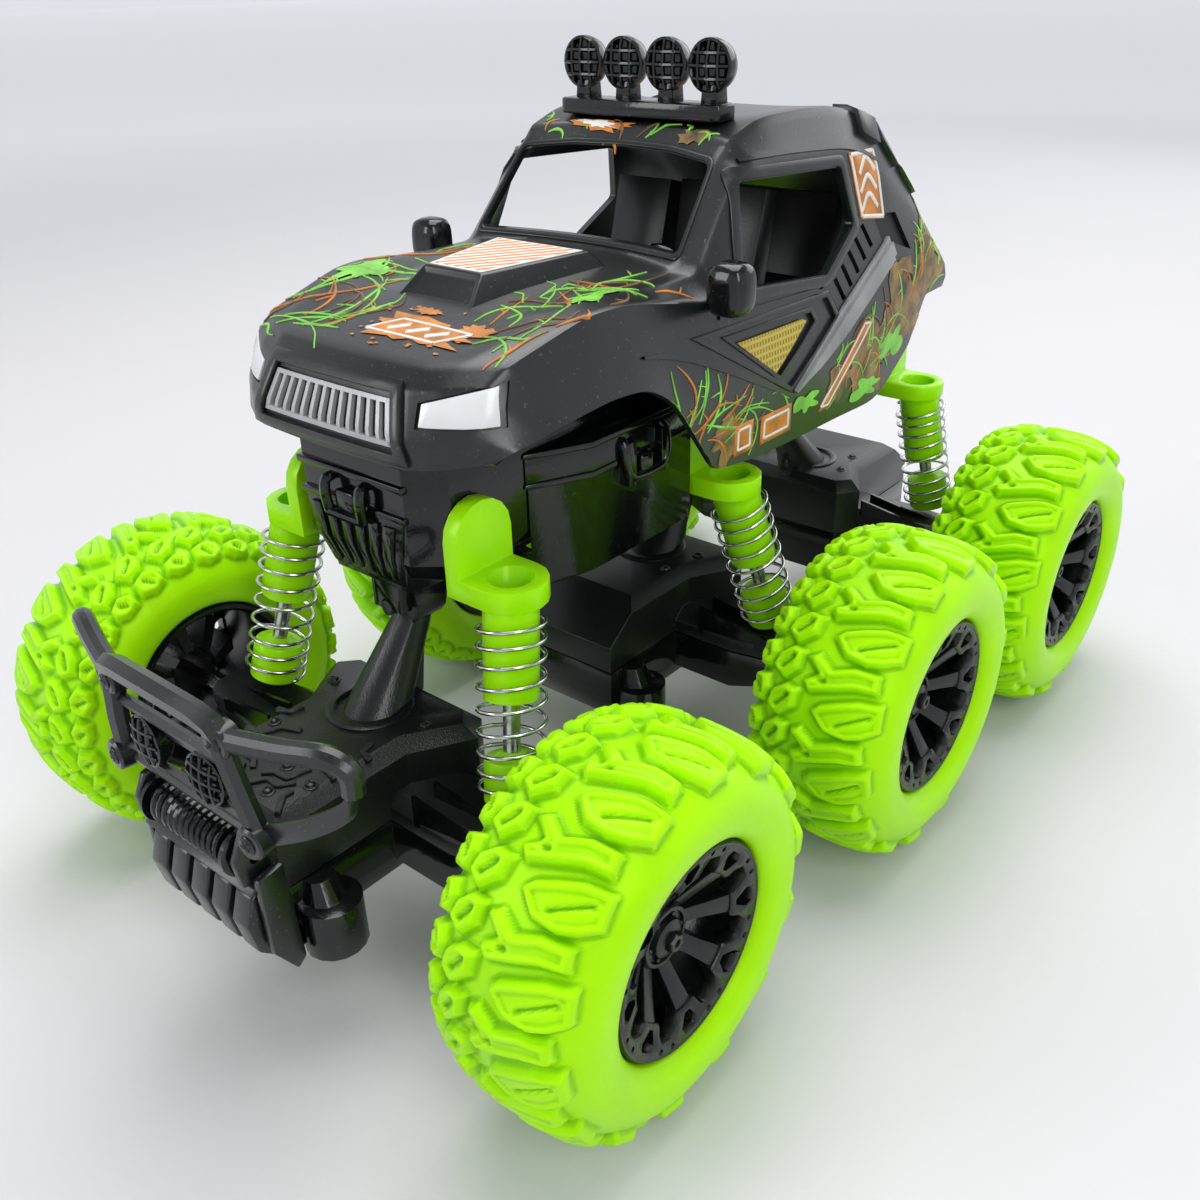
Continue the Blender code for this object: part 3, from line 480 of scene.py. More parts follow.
# Outlines on the wheel's face, as (radius, degrees from the spoke's middle).
SPOKE_FACE = [(4.8, -17), (9.0, -9.8), (13.1, -8.4), (13.1, 8.4), (9.0, 9.8), (4.8, 17)]
SPOKE_WEB = [(5.2, -12), (12.9, -7.0), (12.9, 7.0), (5.2, 12)]
SPOKE_WINDOW = [(13.3, -2.6), (13.3, 2.6), (15.6, 7.4), (16.7, 5.0), (16.7, -5.0), (15.6, -7.4)]
RING_WINDOW = [(11.8, 10.0), (14.2, 12.4), (15.9, 17.0), (15.9, 28.0), (14.2, 32.6), (11.8, 35.0)]
BARREL = [(18.45, -13.2), (18.45, 12.3), (18.1, 12.7), (17.6, 12.5), (16.9, 9.0), (16.9, -12.4),
          (17.6, -13.2)]
RING = [(17.9, 10.4), (17.9, 12.4), (17.5, 12.6), (12.9, 11.6), (12.4, 11.2), (12.4, 9.0)]
HUB = [(5.6, -3.0), (5.6, 7.0), (5.2, 7.5), (4.6, 7.5), (4.4, 6.9), (3.6, 6.9), (3.3, 8.0), (2.4, 8.4),
       (0, 8.4)]
NUT = [(1.8, 8.0), (1.8, 9.4), (1.5, 9.7), (0.8, 9.7), (0.6, 9.1), (0, 9.1)]
STUD = [(0.45, 6.6), (0.45, 7.4), (0.25, 7.6), (0, 7.6)]
BOLT_HOLE = [(0, 10.0), (0.5, 10.0), (0.5, 13), (0, 13)]


def polar(radius, degrees):
    """Point of the wheel's face, as (y, z)."""
    return (radius * math.cos(math.radians(degrees)), radius * math.sin(math.radians(degrees)))


def on_face(outline, turn, low, high):
    """Slab of the wheel's face, from an outline about a spoke."""
    return slab([polar(radius, turn + degrees) for radius, degrees in outline], low, high, "x")


def spun(profile, facets, place=(0, 0)):
    """Profile turned about the wheel's axis or a line along it."""
    return turned(profile, (0, *place), (1, 0, 0), facets)


def dished(bm, hub_x, rim_x):
    """Leans a flat face into a dish: at the hub it stands at hub_x, at the rim at rim_x."""
    hub_radius, slope_length = 5, 11
    for v in bm.verts:
        share = (math.hypot(v.co.y, v.co.z) - hub_radius) / slope_length
        v.co.x += hub_x + (rim_x - hub_x) * min(max(share, 0), 1)
    return bm


def rim_drawing():
    """Deep-dish wheel about its own middle: barrel, windowed ring, deep flat spokes and hub nut."""
    holes, spokes = [], []
    for turn in range(0, 360, 360 // SPOKES):
        holes += [spun(BOLT_HOLE, 10, polar(17.0, turn + offset)) for offset in (17, 28)]
        holes += [on_face(window, turn, 6, 14) for window in (SPOKE_WINDOW, RING_WINDOW)]
        spokes.append(dished(round_edges(on_face(SPOKE_FACE, turn, -1.6, 0), 0.25), 6.4, 13.0))
        spokes.append(dished(on_face(SPOKE_WEB, turn, -10.0, -1.2), 6.4, 12.6))
    ring = round_edges(carved(spun(RING, 96), join(*holes)), 0.12, 1, 40)
    studs = [spun(STUD, 8, polar(3.95, turn)) for turn in range(0, 360, 60)]
    return join(spun(BARREL, 96), ring, spun(HUB, 48), spun(NUT, 6), *spokes, *studs)


def as_object(bm):
    """The drawing as a scene object that a modifier can work on."""
    mesh = bpy.data.meshes.new("drawing")
    bm.to_mesh(mesh)
    bm.free()
    thing = bpy.data.objects.new("drawing", mesh)
    bpy.context.collection.objects.link(thing)
    return thing


def discard(thing):
    mesh = thing.data
    bpy.data.objects.remove(thing)
    bpy.data.meshes.remove(mesh)


def evaluated(bm, **modifiers):
    """The drawing after Blender modifiers, each given as KIND=settings."""
    thing = as_object(bm)
    for kind, settings in modifiers.items():
        modifier = thing.modifiers.new(kind, kind)
        for key, value in settings.items():
            setattr(modifier, key, value)
    result = bmesh.new()
    result.from_mesh(thing.evaluated_get(bpy.context.evaluated_depsgraph_get()).to_mesh())
    discard(thing)
    return result


def carved(base, tool):
    """Base with the tool's shapes cut away."""
    cutter = as_object(tool)
    result = evaluated(base, BOOLEAN={"operation": "DIFFERENCE", "solver": "EXACT", "use_self": True,
                                      "object": cutter})
    discard(cutter)
    return result


def wheel_mesh(name, drawing, side):
    """The mesh of a wheel part for one side of the truck, about its own middle."""
    bm = drawing.copy()
    if side < 0:
        bmesh.ops.scale(bm, vec=(-1, 1, 1), verts=bm.verts)
        bmesh.ops.reverse_faces(bm, faces=bm.faces)
    bm.transform(Matrix.Scale(MM, 4))
    mesh = bpy.data.meshes.new(name)
    bm.to_mesh(mesh)
    bm.free()
    return mesh


def add_wheels():
    """Six tyres and six rims, drawn once for each side of the truck."""
    for part, drawing, finish in (("tyre", tyre_drawing(), "lime_tyre"), ("rim", rim_drawing(), "black_rim")):
        for side_name, side in SIDES.items():
            mesh = wheel_mesh(f"{side_name}_{part}", drawing, side)
            for place in PLACES:
                made = place_mesh(f"{place}_{side_name}_{part}_detailed", mesh, finish, None,
                                  smooth=180 if part == "tyre" else 42)
                made.location = TO_ROW @ Vector((side * TRACK, AXLE_Y[place], AXLE_Z))
                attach(made, f"{place}_wheels")
                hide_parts(f"{place}_{side_name}_{part}")


# ---------------------------------------------------------------- shocks

SHOCK_TOP = {"front": (28.1, 12.7, 79.4), "middle": (28.4, 77.0, 77.0), "rear": (29.0, 160.0, 75.0)}
SHOCK_BASE = {"front": (33.8, 3.8, 41.2), "middle": (34.2, 86.0, 41.2), "rear": (34.4, 163.6, 41.2)}
SHELF = 3.9
SPRING_RADIUS = 5.9
SPRING_WIRE = 0.38


CUP = [(0, -0.8), (2.2, -0.8), (2.4, 0), (4.6, 0), (4.9, 0.3), (4.9, 7.4), (4.6, 8.0), (3.2, 8.2), (2.4, 8.8),
       (1.7, 9.0), (0, 9.0)]


def spring_drawing(base, up, highest):
    """Coil spring of round wire, from the foot of the cup to the highest turn."""
    lowest, turns, steps_per_turn, crowding = 1.2, 9.5, 28, 0.035
    turn = Matrix.Translation(base) @ frame_along(up)
    count = int(turns * steps_per_turn)
    line = []
    for k in range(count + 1):
        t = k / count
        height = lowest + (highest - lowest) * (t - crowding * math.sin(2 * math.pi * t))
        angle = 2 * math.pi * turns * t
        line.append(turn @ Vector((SPRING_RADIUS * math.cos(angle), SPRING_RADIUS * math.sin(angle), height)))
    return tube(line, SPRING_WIRE, 8)


def add_shocks():
    """Bracket, cup, polished rod and a spring between chassis and axle, at each corner."""
    for place in PLACES:
        for side_name, side in SIDES.items():
            name = f"{place}_{side_name}"
            top, base = (Vector(*sided(side, [ends[place]])) for ends in (SHOCK_TOP, SHOCK_BASE))
            length, up = (top - base).length, (top - base).normalized()
            refined(f"{name}_shock_bracket", "lime_plastic", 0.5)
            piece(f"{name}_damper_cup", turned(CUP, base, top - base, 40), "lime_plastic", f"{place}_axle",
                  (f"{name}_damper_rod",))
            rod = turned([(1.5, 8.0), (1.5, length - 12.3), (1.2, length - 12.0), (0, length - 12.0)],
                         base, top - base, 24)
            piece(f"{name}_damper_rod_polished", rod, "shaft_steel", f"{place}_axle")
            spring = spring_drawing(base, up, length - SHELF - 2.6)
            made = piece(f"{name}_spring_wire", spring, "spring_steel", None, (f"{name}_spring",), smooth=180)
            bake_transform(made)


# ---------------------------------------------------------------- body shell

SHELL_WALL = 1.3
LOUVRES = 6
# Each row runs from the middle line outward and down, as (x, y, z); the rows run from nose to tail.
SHELL_SECTIONS = [
    [(0, 0.6, 99.4), (9, 0.6, 99.5), (18, 0.8, 99.8), (22, 2.0, 100.2), (26, 4.0, 100.8), (31, 8.0, 101.6)],
    [(0, 0.4, 104), (9, 0.4, 104.1), (18.5, 0.9, 104.4), (23, 2.8, 104.9), (28, 6.0, 105.4),
     (33, 11, 103.2)],
    [(0, 3.6, 111.8), (9, 3.6, 111.8), (16.8, 4, 111.6), (22.5, 6.2, 112.2), (28.8, 9.8, 112.6),
     (34, 15, 104)],
    [(0, 6.6, 114.4), (9, 6.6, 114.5), (17.4, 7.2, 114.6), (23, 10.0, 115), (29.6, 14, 115.4),
     (34.8, 19, 105)],
    [(0, 26, 118.4), (8, 26, 118.4), (18, 27, 118.2), (25.5, 28.4, 119.6), (31.2, 30, 119.6),
     (35.4, 31, 106.2)],
    [(0, 36, 119.8), (9, 36, 119.7), (19, 37, 118.8), (26, 38, 120.2), (32, 39, 120.0), (35.6, 41, 105.8)],
    [(0, 54, 120.8), (11, 54, 120.6), (21, 51, 119.6), (27, 51, 119.6), (32.2, 51, 117.6),
     (35.2, 49, 100.6)],
    [(0, 66, 121), (12, 65.4, 121), (25.4, 61.6, 120.4), (28.8, 63.6, 119.2), (33.2, 65, 114.8),
     (35, 63, 100), (34.6, 62.6, 83.6)],
    [(0, 80, 138.4), (11, 79.2, 138.2), (23.6, 75.8, 136.9), (27.8, 78, 135.4), (33.4, 76, 114.4),
     (35.2, 77, 100), (34.8, 77, 81.8)],
    [(0, 83.4, 141.4), (12, 82.8, 141.3), (24.4, 79.4, 140.1), (28.2, 82, 135.8), (33.4, 84, 114.0),
     (35.3, 88, 99.6), (34.9, 90, 81.4)],
    [(0, 90, 142.4), (12.6, 89.6, 142.3), (24.6, 88.4, 143.1), (28.6, 91, 135.6), (33.4, 93, 113.7),
     (35.3, 97, 99.5), (34.9, 99, 81.2)],
    [(0, 104, 142.6), (13, 104, 142.4), (25.2, 104, 143.4), (29.0, 105, 135.0), (33.4, 104, 113.2),
     (35.2, 107, 99.4), (34.8, 109, 81)],
    [(0, 115, 142.4), (13, 115, 142.2), (25.6, 116, 142.8), (29.4, 117, 134.0), (33.3, 116, 112.8),
     (35, 119, 99), (34.6, 127, 80.0)],
    [(0, 130, 139.4), (13, 130, 139.2), (26.4, 130, 138.6), (30.2, 131, 127.0), (33, 134, 112),
     (34.4, 138, 100), (34, 142, 89)],
    [(0, 148, 123.8), (13, 148, 123.6), (27.4, 147, 123.4), (30.4, 148, 117), (32.6, 150, 110.5),
     (33.4, 151, 104), (33, 150.6, 98.8)],
    [(0, 163, 108), (13, 163, 107.8), (28, 162.4, 107.2), (30.4, 162.2, 105.8), (31.8, 162.0, 103.8),
     (32.6, 161.6, 101), (32.2, 161, 98.6)],
]
LAST_COLUMN = 6
# How sharp the edges stay along each column and across each row; the others are round, or 0.15 for a row.
SHARP_COLUMNS = {1: 0.0, 2: 0.95, 3: 0.85, 4: 0.75, 5: 0.4}
SHARP_ROWS = {1: 0.5, 2: 1.0, 3: 0.95, 4: 0.4, 5: 0.2, 7: 0.9, 8: 0.8, 9: 0.7, 10: 0.3, 12: 0.3, 13: 0.9,
              14: 0.85}


def shell_cage():
    """Coarse skin of the shell with its sharper edges marked for the subdivision."""
    bm = bmesh.new()
    crease = bm.edges.layers.float.new("crease_edge")
    grid, key_of = {}, {}
    for row, section in enumerate(SHELL_SECTIONS):
        for column, (x, y, z) in enumerate(section):
            for side in (1, -1):
                vert = grid[row, column, 1] if side < 0 and x == 0 else bm.verts.new((side * x, y, z))
                grid[row, column, side] = vert
                key_of[vert] = (row, column)
    for row in range(len(SHELL_SECTIONS) - 1):
        for column in range(LAST_COLUMN):
            for side in (1, -1):
                keys = [(row, column), (row, column + 1), (row + 1, column + 1), (row + 1, column)]
                corners = [grid[(*key, side)] for key in keys if (*key, side) in grid]
                if len(corners) == 4 or len(corners) == 3 and column == LAST_COLUMN - 1:
                    bm.faces.new(corners if side > 0 else list(reversed(corners)))
    bmesh.ops.recalc_face_normals(bm, faces=bm.faces)
    for edge in bm.edges:
        (row_a, column_a), (row_b, column_b) = (key_of[v] for v in edge.verts)
        if edge.is_boundary:
            edge[crease] = 1.0
        elif column_a == column_b:
            edge[crease] = SHARP_COLUMNS.get(column_a, 0)
        elif row_a == row_b:
            edge[crease] = SHARP_ROWS.get(row_a, 0.15)
    return bm


SKIN = evaluated(shell_cage(), SUBSURF={"levels": 4, "render_levels": 4})
SKIN_TREE = BVHTree.FromBMesh(SKIN)
LOOK = {"left": Vector((-1, 0, 0)), "right": Vector((1, 0, 0)), "front": Vector((0, 1, 0)),
        "top": Vector((0, 0, -1))}
# How far along the look the shell's middle lies, for places that a ray misses.
DEPTH = {"left": 166, "right": 166, "front": 200, "top": 180}


def on_skin(a, b, view):
    """Point and outward normal of the shell where a ray in the view's direction first meets it.
    The pair is (y, z) from a side, (x, z) from the front and (x, y) from the top."""
    ray = LOOK[view]
    starts = {"left": (200, a, b), "right": (-200, a, b), "front": (a, -200, b), "top": (a, b, 300)}
    start = Vector(starts[view])
    point, normal, _, _ = SKIN_TREE.ray_cast(start, ray)
    if point is None or abs(normal.dot(ray)) < 0.05:
        point, normal, _, _ = SKIN_TREE.find_nearest(start + ray * DEPTH[view])
    return point, normal if normal.dot(ray) < 0 else -normal


def skin_panel(corners, view, lift, sink=0.4, steps=(8, 8)):
    """Solid patch that follows the shell over a four-cornered area, lift mm proud of it."""
    a, b, c, d = (Vector(p) for p in corners)
    columns, rows = steps
    spots = []
    for row in range(rows + 1):
        left, right = a.lerp(d, row / rows), b.lerp(c, row / rows)
        spots.append([on_skin(*left.lerp(right, column / columns), view) for column in range(columns + 1)])
    bm = bmesh.new()
    tops = [[bm.verts.new(point + normal * lift) for point, normal in line] for line in spots]
    bottoms = [[bm.verts.new(point - normal * sink) for point, normal in line] for line in spots]
    for row in range(rows):
        for column in range(columns):
            square = [(row, column), (row, column + 1), (row + 1, column + 1), (row + 1, column)]
            bm.faces.new([tops[r][c] for r, c in square])
            bm.faces.new([bottoms[r][c] for r, c in reversed(square)])
    border = [(0, c) for c in range(columns)] + [(r, columns) for r in range(rows)]
    border += [(rows, c) for c in range(columns, 0, -1)] + [(r, 0) for r in range(rows, 0, -1)]
    for (r0, c0), (r1, c1) in zip(border, border[1:] + border[:1]):
        bm.faces.new([tops[r0][c0], bottoms[r0][c0], bottoms[r1][c1], tops[r1][c1]])
    bmesh.ops.remove_doubles(bm, verts=bm.verts, dist=1e-4)
    bmesh.ops.recalc_face_normals(bm, faces=bm.faces)
    return bm


LONGEST_STEP = 9


def skin_ribbon(points, view, widths, lift=0.18):
    """Thin printed or raised line on the shell through points, with a width at each."""
    path = smooth_path([(*p, 0) for p in points], 5)
    spread = np.interp(np.linspace(0, 1, len(path)), np.linspace(0, 1, len(widths)), widths)
    bm = bmesh.new()
    pairs = []
    for k, place in enumerate(path):
        ahead = (path[min(k + 1, len(path) - 1)] - path[max(k - 1, 0)]).normalized()
        side = Vector((-ahead.y, ahead.x, 0)) * spread[k] / 2
        pair = []
        for edge in (place + side, place - side):
            point, normal = on_skin(edge.x, edge.y, view)
            pair.append((bm.verts.new(point + normal * lift), bm.verts.new(point - normal * 0.2)))
        pairs.append(pair)
    for one, two in zip(pairs, pairs[1:]):
        if max((a[0].co - b[0].co).length for a, b in zip(one, two)) > LONGEST_STEP:
            continue
        bm.faces.new((one[0][0], one[1][0], two[1][0], two[0][0]))
        bm.faces.new((one[0][0], two[0][0], two[0][1], one[0][1]))
        bm.faces.new((one[1][1], two[1][1], two[1][0], one[1][0]))
    for vert in [v for v in bm.verts if not v.link_faces]:
        bm.verts.remove(vert)
    bmesh.ops.recalc_face_normals(bm, faces=bm.faces)
    return bm


GRILLE = trapezoid(15.6, 103.2, 13.6, 110.0)
NOSE_PANEL = trapezoid(19.4, 100.4, 15.9, 112.6)
HEADLIGHT = [(20.2, 106.7), (30.6, 106.9), (29.5, 112.8), (19.8, 110.0)]
DOOR_TRIANGLE = [(57.5, 109.8), (101.5, 108.4), (104.8, 103.8), (88.0, 93.4)]
INNER_TRIANGLE = [(66.6, 107.9), (95.6, 106.6), (97.0, 104.6), (84.0, 96.6)]
MESH_TRIANGLE = [(69.8, 106.3), (92.6, 105.9), (94.2, 105.2), (82.6, 97.4)]
BAR_LINE = [(88.8, 92.2), (97.5, 96.6), (108.5, 102.2), (120.0, 107.8), (130.5, 112.9)]
POCKET = [(126.6, 115.4), (140.6, 111.0), (134.2, 119.8), (123.4, 121.0)]
SIDE_WINDOW = [(72.8, 115.6), (77.2, 133.4), (110.8, 131.8), (114.0, 120.4), (101.6, 112.8)]
WINDSCREEN = [(-24.4, 122.4), (24.4, 122.4), (22.9, 136.2), (12.0, 137.2), (0, 137.4), (-12.0, 137.2),
              (-22.9, 136.2)]


# The crease, the shoulder and the roof rail: line from the side, widths along it, height over the skin.
RAILS = [([(41, 110.6), (50, 108.6), (59.7, 105.0), (74, 98.4), (87.6, 91.9)],
          [0.5, 1.1, 1.3, 1.1, 0.7], 0.5),
         ([(64.0, 112.2), (80, 111.3), (95, 110.6), (100.6, 110.2), (108, 115.4), (117, 121.6)],
          [0.7, 0.9, 0.9, 0.9, 0.8, 0.6], 0.4),
         ([(79.0, 136.6), (86, 136.9), (100, 136.4), (116, 135.0), (128, 131.0)],
          [0.6, 1.1, 1.1, 1.1, 0.6], 0.4)]
GRILLE_BARS = 14


def corners_of(outline):
    """Each corner with the ones before and after it."""
    spots = [Vector(p) for p in outline]
    return zip(spots[-1:] + spots[:-1], spots, spots[1:] + spots[:1])


def middle_of(outline):
    return sum((Vector(p) for p in outline), Vector((0, 0))) / len(outline)


def rounded(outline, radius, steps=4):
    """Outline with an arc of about the given radius in place of each corner."""
    line = []
    for before, corner, after in corners_of(outline):
        start = corner + (before - corner).normalized() * radius
        end = corner + (after - corner).normalized() * radius
        for k in range(steps + 1):
            t = k / steps
            line.append(tuple(start.lerp(corner, t).lerp(corner.lerp(end, t), t)))
    return line


def widened(outline, reach):
    """Outline moved outward by reach, corner by corner."""
    middle = middle_of(outline)
    moved = []
    for before, corner, after in corners_of(outline):
        one, two = (corner - before).normalized(), (after - corner).normalized()
        sides = [Vector((-d.y, d.x)) for d in (one, two)]
        sides = [n if n.dot(corner - middle) > 0 else -n for n in sides]
        mean = (sides[0] + sides[1]).normalized()
        moved.append(tuple(corner + mean * reach / max(0.5, mean.dot(sides[0]))))
    return moved


def skin_band(inner, outer, view, lift, sink=0.4, pitch=2.0):
    """Closed band that follows the shell between two outlines with as many corners each."""
    loops = []
    count = len(inner)
    for k in range(count):
        j = (k + 1) % count
        steps = max(1, round((Vector(outer[j]) - Vector(outer[k])).length / pitch))
        for step in range(steps):
            t = step / steps
            ends = [Vector(line[k]).lerp(Vector(line[j]), t) for line in (inner, outer)]
            loops.append([on_skin(spot.x, spot.y, view) for spot in ends])
    rings = [[a - na * sink, a + na * lift, b + nb * lift, b - nb * sink] for (a, na), (b, nb) in loops]
    return loft(rings, closed=True)


def scaled(outline, factor):
    """Outline grown or shrunk about its middle."""
    middle = middle_of(outline)
    return [tuple(middle + (Vector(p) - middle) * factor) for p in outline]


def add_shell():
    """The shell with its windows, louvres and recesses cut in two passes, as some cuts overlap."""
    shell = evaluated(shell_cage(), SUBSURF={"levels": 3, "render_levels": 3},
                      SOLIDIFY={"thickness": SHELL_WALL, "offset": -1, "use_even_offset": True,
                                "use_quality_normals": True})
    cuts = [skin_panel(scaled(GRILLE, 1.1), "front", 3, 0.8, (10, 4))]
    deeper_cuts = [slab(rounded(WINDSCREEN, 1.3), 55, 92, "y")]
    for view, sign in SIDES.items():
        cuts.append(skin_panel(sided(sign, scaled(HEADLIGHT, 1.12)), "front", 3, 0.7, (6, 4)))
        cuts.append(skin_panel(DOOR_TRIANGLE, view, 3, 0.45, (14, 8)))
        deeper_cuts.append(skin_panel(INNER_TRIANGLE, view, 3, 0.95, (10, 8)))
        deeper_cuts.append(slab(rounded(SIDE_WINDOW, 1.1), sign * 20, sign * 45, "x"))
        for k in range(LOUVRES):
            y, z = 103.9 + 3.2 * k, 106.6 + 2.12 * k
            louvre = [(y + 1.2, z - 2.6), (y + 2.6, z - 2.2), (y - 1.0, z + 2.7), (y - 2.4, z + 2.3)]
            cuts.append(skin_panel(louvre, view, 3, 0.9, (2, 4)))
        cuts.append(skin_panel(POCKET, view, 3, 1.05, (6, 5)))
    for cut_shapes in (cuts, deeper_cuts):
        shell = carved(shell, join(*cut_shapes))
    piece("body_shell_moulding", shell, "satin_black", "chassis", ("body_shell",), smooth=32)


def scoop_moulding():
    """Raised scoop in the middle of the bonnet with a recessed front."""
    bm = bmesh.new()
    foot, roof = trapezoid(9.4, 25.2, 14.6, 57.5), trapezoid(7.0, 31.2, 11.4, 54.6)
    low = [bm.verts.new((*p, z)) for p, z in zip(foot, (117.4, 117.4, 119.4, 119.4))]
    high = [bm.verts.new((*p, z)) for p, z in zip(roof, (122.9, 122.9, 123.2, 123.2))]
    bm.faces.new(high)
    bm.faces.new(list(reversed(low)))
    front = None
    for k in range(4):
        j = (k + 1) % 4
        wall = bm.faces.new((low[k], low[j], high[j], high[k]))
        front = front or wall
    bmesh.ops.recalc_face_normals(bm, faces=bm.faces)
    bmesh.ops.inset_individual(bm, faces=[front], thickness=1.1, depth=-0.8)
    return round_edges(bm, 0.45, 3)


def add_nose():
    """Slatted grille in its raised panel."""
    # Near-black sheet in the grille recess: painted shade between the bars.
    piece("grille_shade_backing", skin_panel(GRILLE, "front", -0.55, 0.75, (12, 3)), "painted_shade_black")
    a, b, c, d = (Vector(p) for p in GRILLE)
    bars = []
    for low, high, inward in ((a, b, 0.8), (d, c, -0.7)):
        edge = [tuple(low), tuple(high), (high.x, high.y + inward), (low.x, low.y + inward)]
        bars.append(skin_panel(edge, "front", 0.35, 0.7, (14, 1)))
    for k in range(GRILLE_BARS):
        share = k / (GRILLE_BARS - 1)
        foot, head = a.lerp(b, share), d.lerp(c, share)
        half = 0.42 if 0 < share < 1 else 0.55
        bar = [(foot.x - half, foot.y), (foot.x + half, foot.y), (head.x + half * 0.9, head.y),
               (head.x - half * 0.9, head.y)]
        bars.append(skin_panel(bar, "front", 0.3, 0.7, (1, 4)))
    piece("grille_bars", join(*bars), "silver_paint")
    nose_panel = skin_band(widened(GRILLE, 0.9), NOSE_PANEL, "front", 1.0)
    piece("nose_panel", round_edges(nose_panel, 0.35), "satin_black")


def add_side_details():
    """Lamps, rails, steps and frames that stand on the shell, on both sides."""
    frames = [skin_band(rounded(widened(WINDSCREEN, 0.2), 1.3), rounded(widened(WINDSCREEN, 1.0), 1.5),
                        "front", 0.35)]
    for view, sign in SIDES.items():
        tail = sided(sign, [(19.6, 157.2), (26.4, 157.2), (26.8, 161.0), (19.6, 161.0)])
        piece(f"{view}_tail_lamp", round_edges(skin_panel(tail, "top", 0.5, 0.5, (4, 3)), 0.3), "tail_lamp")
        lamp = skin_panel(sided(sign, HEADLIGHT), "front", 0.15, 0.8, (6, 4))
        piece(f"{view}_headlight", round_edges(lamp, 0.2), "headlight")
        piece(f"{view}_door_mesh", skin_panel(MESH_TRIANGLE, view, -0.40, 0.75, (8, 8)), "mesh_gold")
        pocket_floor = skin_panel(scaled(POCKET, 0.96), view, -0.92, 1.1, (5, 4))
        piece(f"{view}_pocket_shadow", pocket_floor, "painted_shade_black")
        bar = [skin_ribbon(BAR_LINE, view, [0.8, 4.2, 5.8, 6.0, 6.0], 0.6),
               skin_ribbon(BAR_LINE, view, [0.4, 2.0, 2.9, 3.0, 3.0], 1.15)]
        piece(f"{view}_diagonal_bar", join(*bar), "grey_trim")
        rails = [skin_ribbon(line, view, widths, lift) for line, widths, lift in RAILS]
        piece(f"{view}_shell_rails", join(*rails), "satin_black")
        door = [round_edges(skin_band(DOOR_TRIANGLE, widened(DOOR_TRIANGLE, 1.2), view, 0.4), 0.15),
                round_edges(skin_band(INNER_TRIANGLE, widened(INNER_TRIANGLE, 1.0), view, -0.1, 0.6), 0.12)]
        piece(f"{view}_door_frame", join(*door), "satin_black")
        frames.append(skin_band(rounded(widened(SIDE_WINDOW, 0.2), 1.2),
                                rounded(widened(SIDE_WINDOW, 2.3), 2.0), view, 0.55))
        steps = [skin_panel(sided(sign, [(21.0, y), (27.6, y), (28.0, y + 7.0), (21.6, y + 7.0)]), "top",
                            1.3 - 0.1 * k, 0.5, (4, 4)) for k, y in enumerate((122.0, 131.5, 141.0))]
        piece(f"{view}_roof_steps", round_edges(join(*steps), 0.5), "satin_black")
    piece("window_frames", join(*(round_edges(shape, 0.22) for shape in frames)), "satin_black")


def add_rear_slats():
    """Slats between two rails over a near-black sheet painted as the shade in the recess under them."""
    slats = [skin_panel(trapezoid(19.6, y, 19.9, y + 2.3), "top", 1.0, 0.5, (10, 3))
             for y in (134.0, 138.6, 143.2, 147.8, 152.4)]
    slats += [skin_panel(rectangle(x, 132.4, x + 1.4, 156.2), "top", 1.3, 0.5, (2, 12))
              for x in (-21.6, 20.2)]
    piece("rear_slats", round_edges(join(*slats), 0.35), "satin_black")
    shade = skin_panel(rectangle(-20.4, 132.8, 20.4, 155.8), "top", 0.12, 0.3, (10, 12))
    piece("rear_slat_shade", shade, "painted_shade_black")


def add_scoop():
    """Raised scoop with a hatched panel in a pale border on its sloping top."""
    piece("bonnet_scoop", scoop_moulding(), "satin_black")
    middle_y, middle_z, slope = 42.9, 123.04, math.atan2(0.3, 23.4)
    tilt = Matrix.Translation((0, middle_y, middle_z)) @ Matrix.Rotation(slope, 4, "X") \
        @ Matrix.Translation((0, -middle_y, 0))
    border = slab(trapezoid(6.4, 32.0, 10.6, 53.8), 0, 0.12)
    hatch = slab(trapezoid(5.7, 32.7, 9.7, 53.1), 0.12, 0.2)
    for name, shape, finish in (("scoop_panel_border", border, "print_white"),
                                ("scoop_panel", hatch, "hatched_panel")):
        shape.transform(tilt)
        piece(name, shape, finish)


# ---------------------------------------------------------------- printed graphics

# Each area: view, lowest and highest (a, b) of the starts, heading and its spread in degrees, length, counts.
SCRIBBLE_AREAS = [
    ("top", (-30, 9), (-9, 30), 40, 22, (14, 30), 16, 9),
    ("top", (12, 10), (30, 26), 70, 26, (12, 26), 9, 6),
    ("top", (14, 30), (31, 58), 100, 45, (8, 20), 16, 9),
    ("top", (-31, 30), (-14, 60), 80, 45, (8, 20), 13, 7),
    ("top", (-22, 78.5), (22, 81.5), 80, 60, (3, 7), 8, 4),
    ("side", (48, 88), (86, 96), 35, 60, (9, 20), 15, 13),
    ("side", (98, 84), (132, 98), 45, 40, (7, 16), 12, 10),
    ("side", (134, 98), (158, 112), 65, 40, (6, 14), 10, 9),
]
INKS = ("print_lime", "print_orange", "print_brown", "print_white", "print_haze")
SPATTERS = 26
LABEL_INSET = 1.1
KEEP_CLEAR = {
    "top": [trapezoid(10.4, 24.0, 15.6, 58.5), rectangle(-5, 11.5, 18.5, 21.5),
            rectangle(-40, 60.0, 40, 77.6)],
    "side": [[(38, 112.0), (59.7, 106.0), (87.6, 92.6), (90.5, 91.0), (112.0, 98.6), (134.0, 110.0),
              (143.5, 110.0), (136.0, 122.0), (128.0, 142.0), (60, 142), (38, 126)]],
}
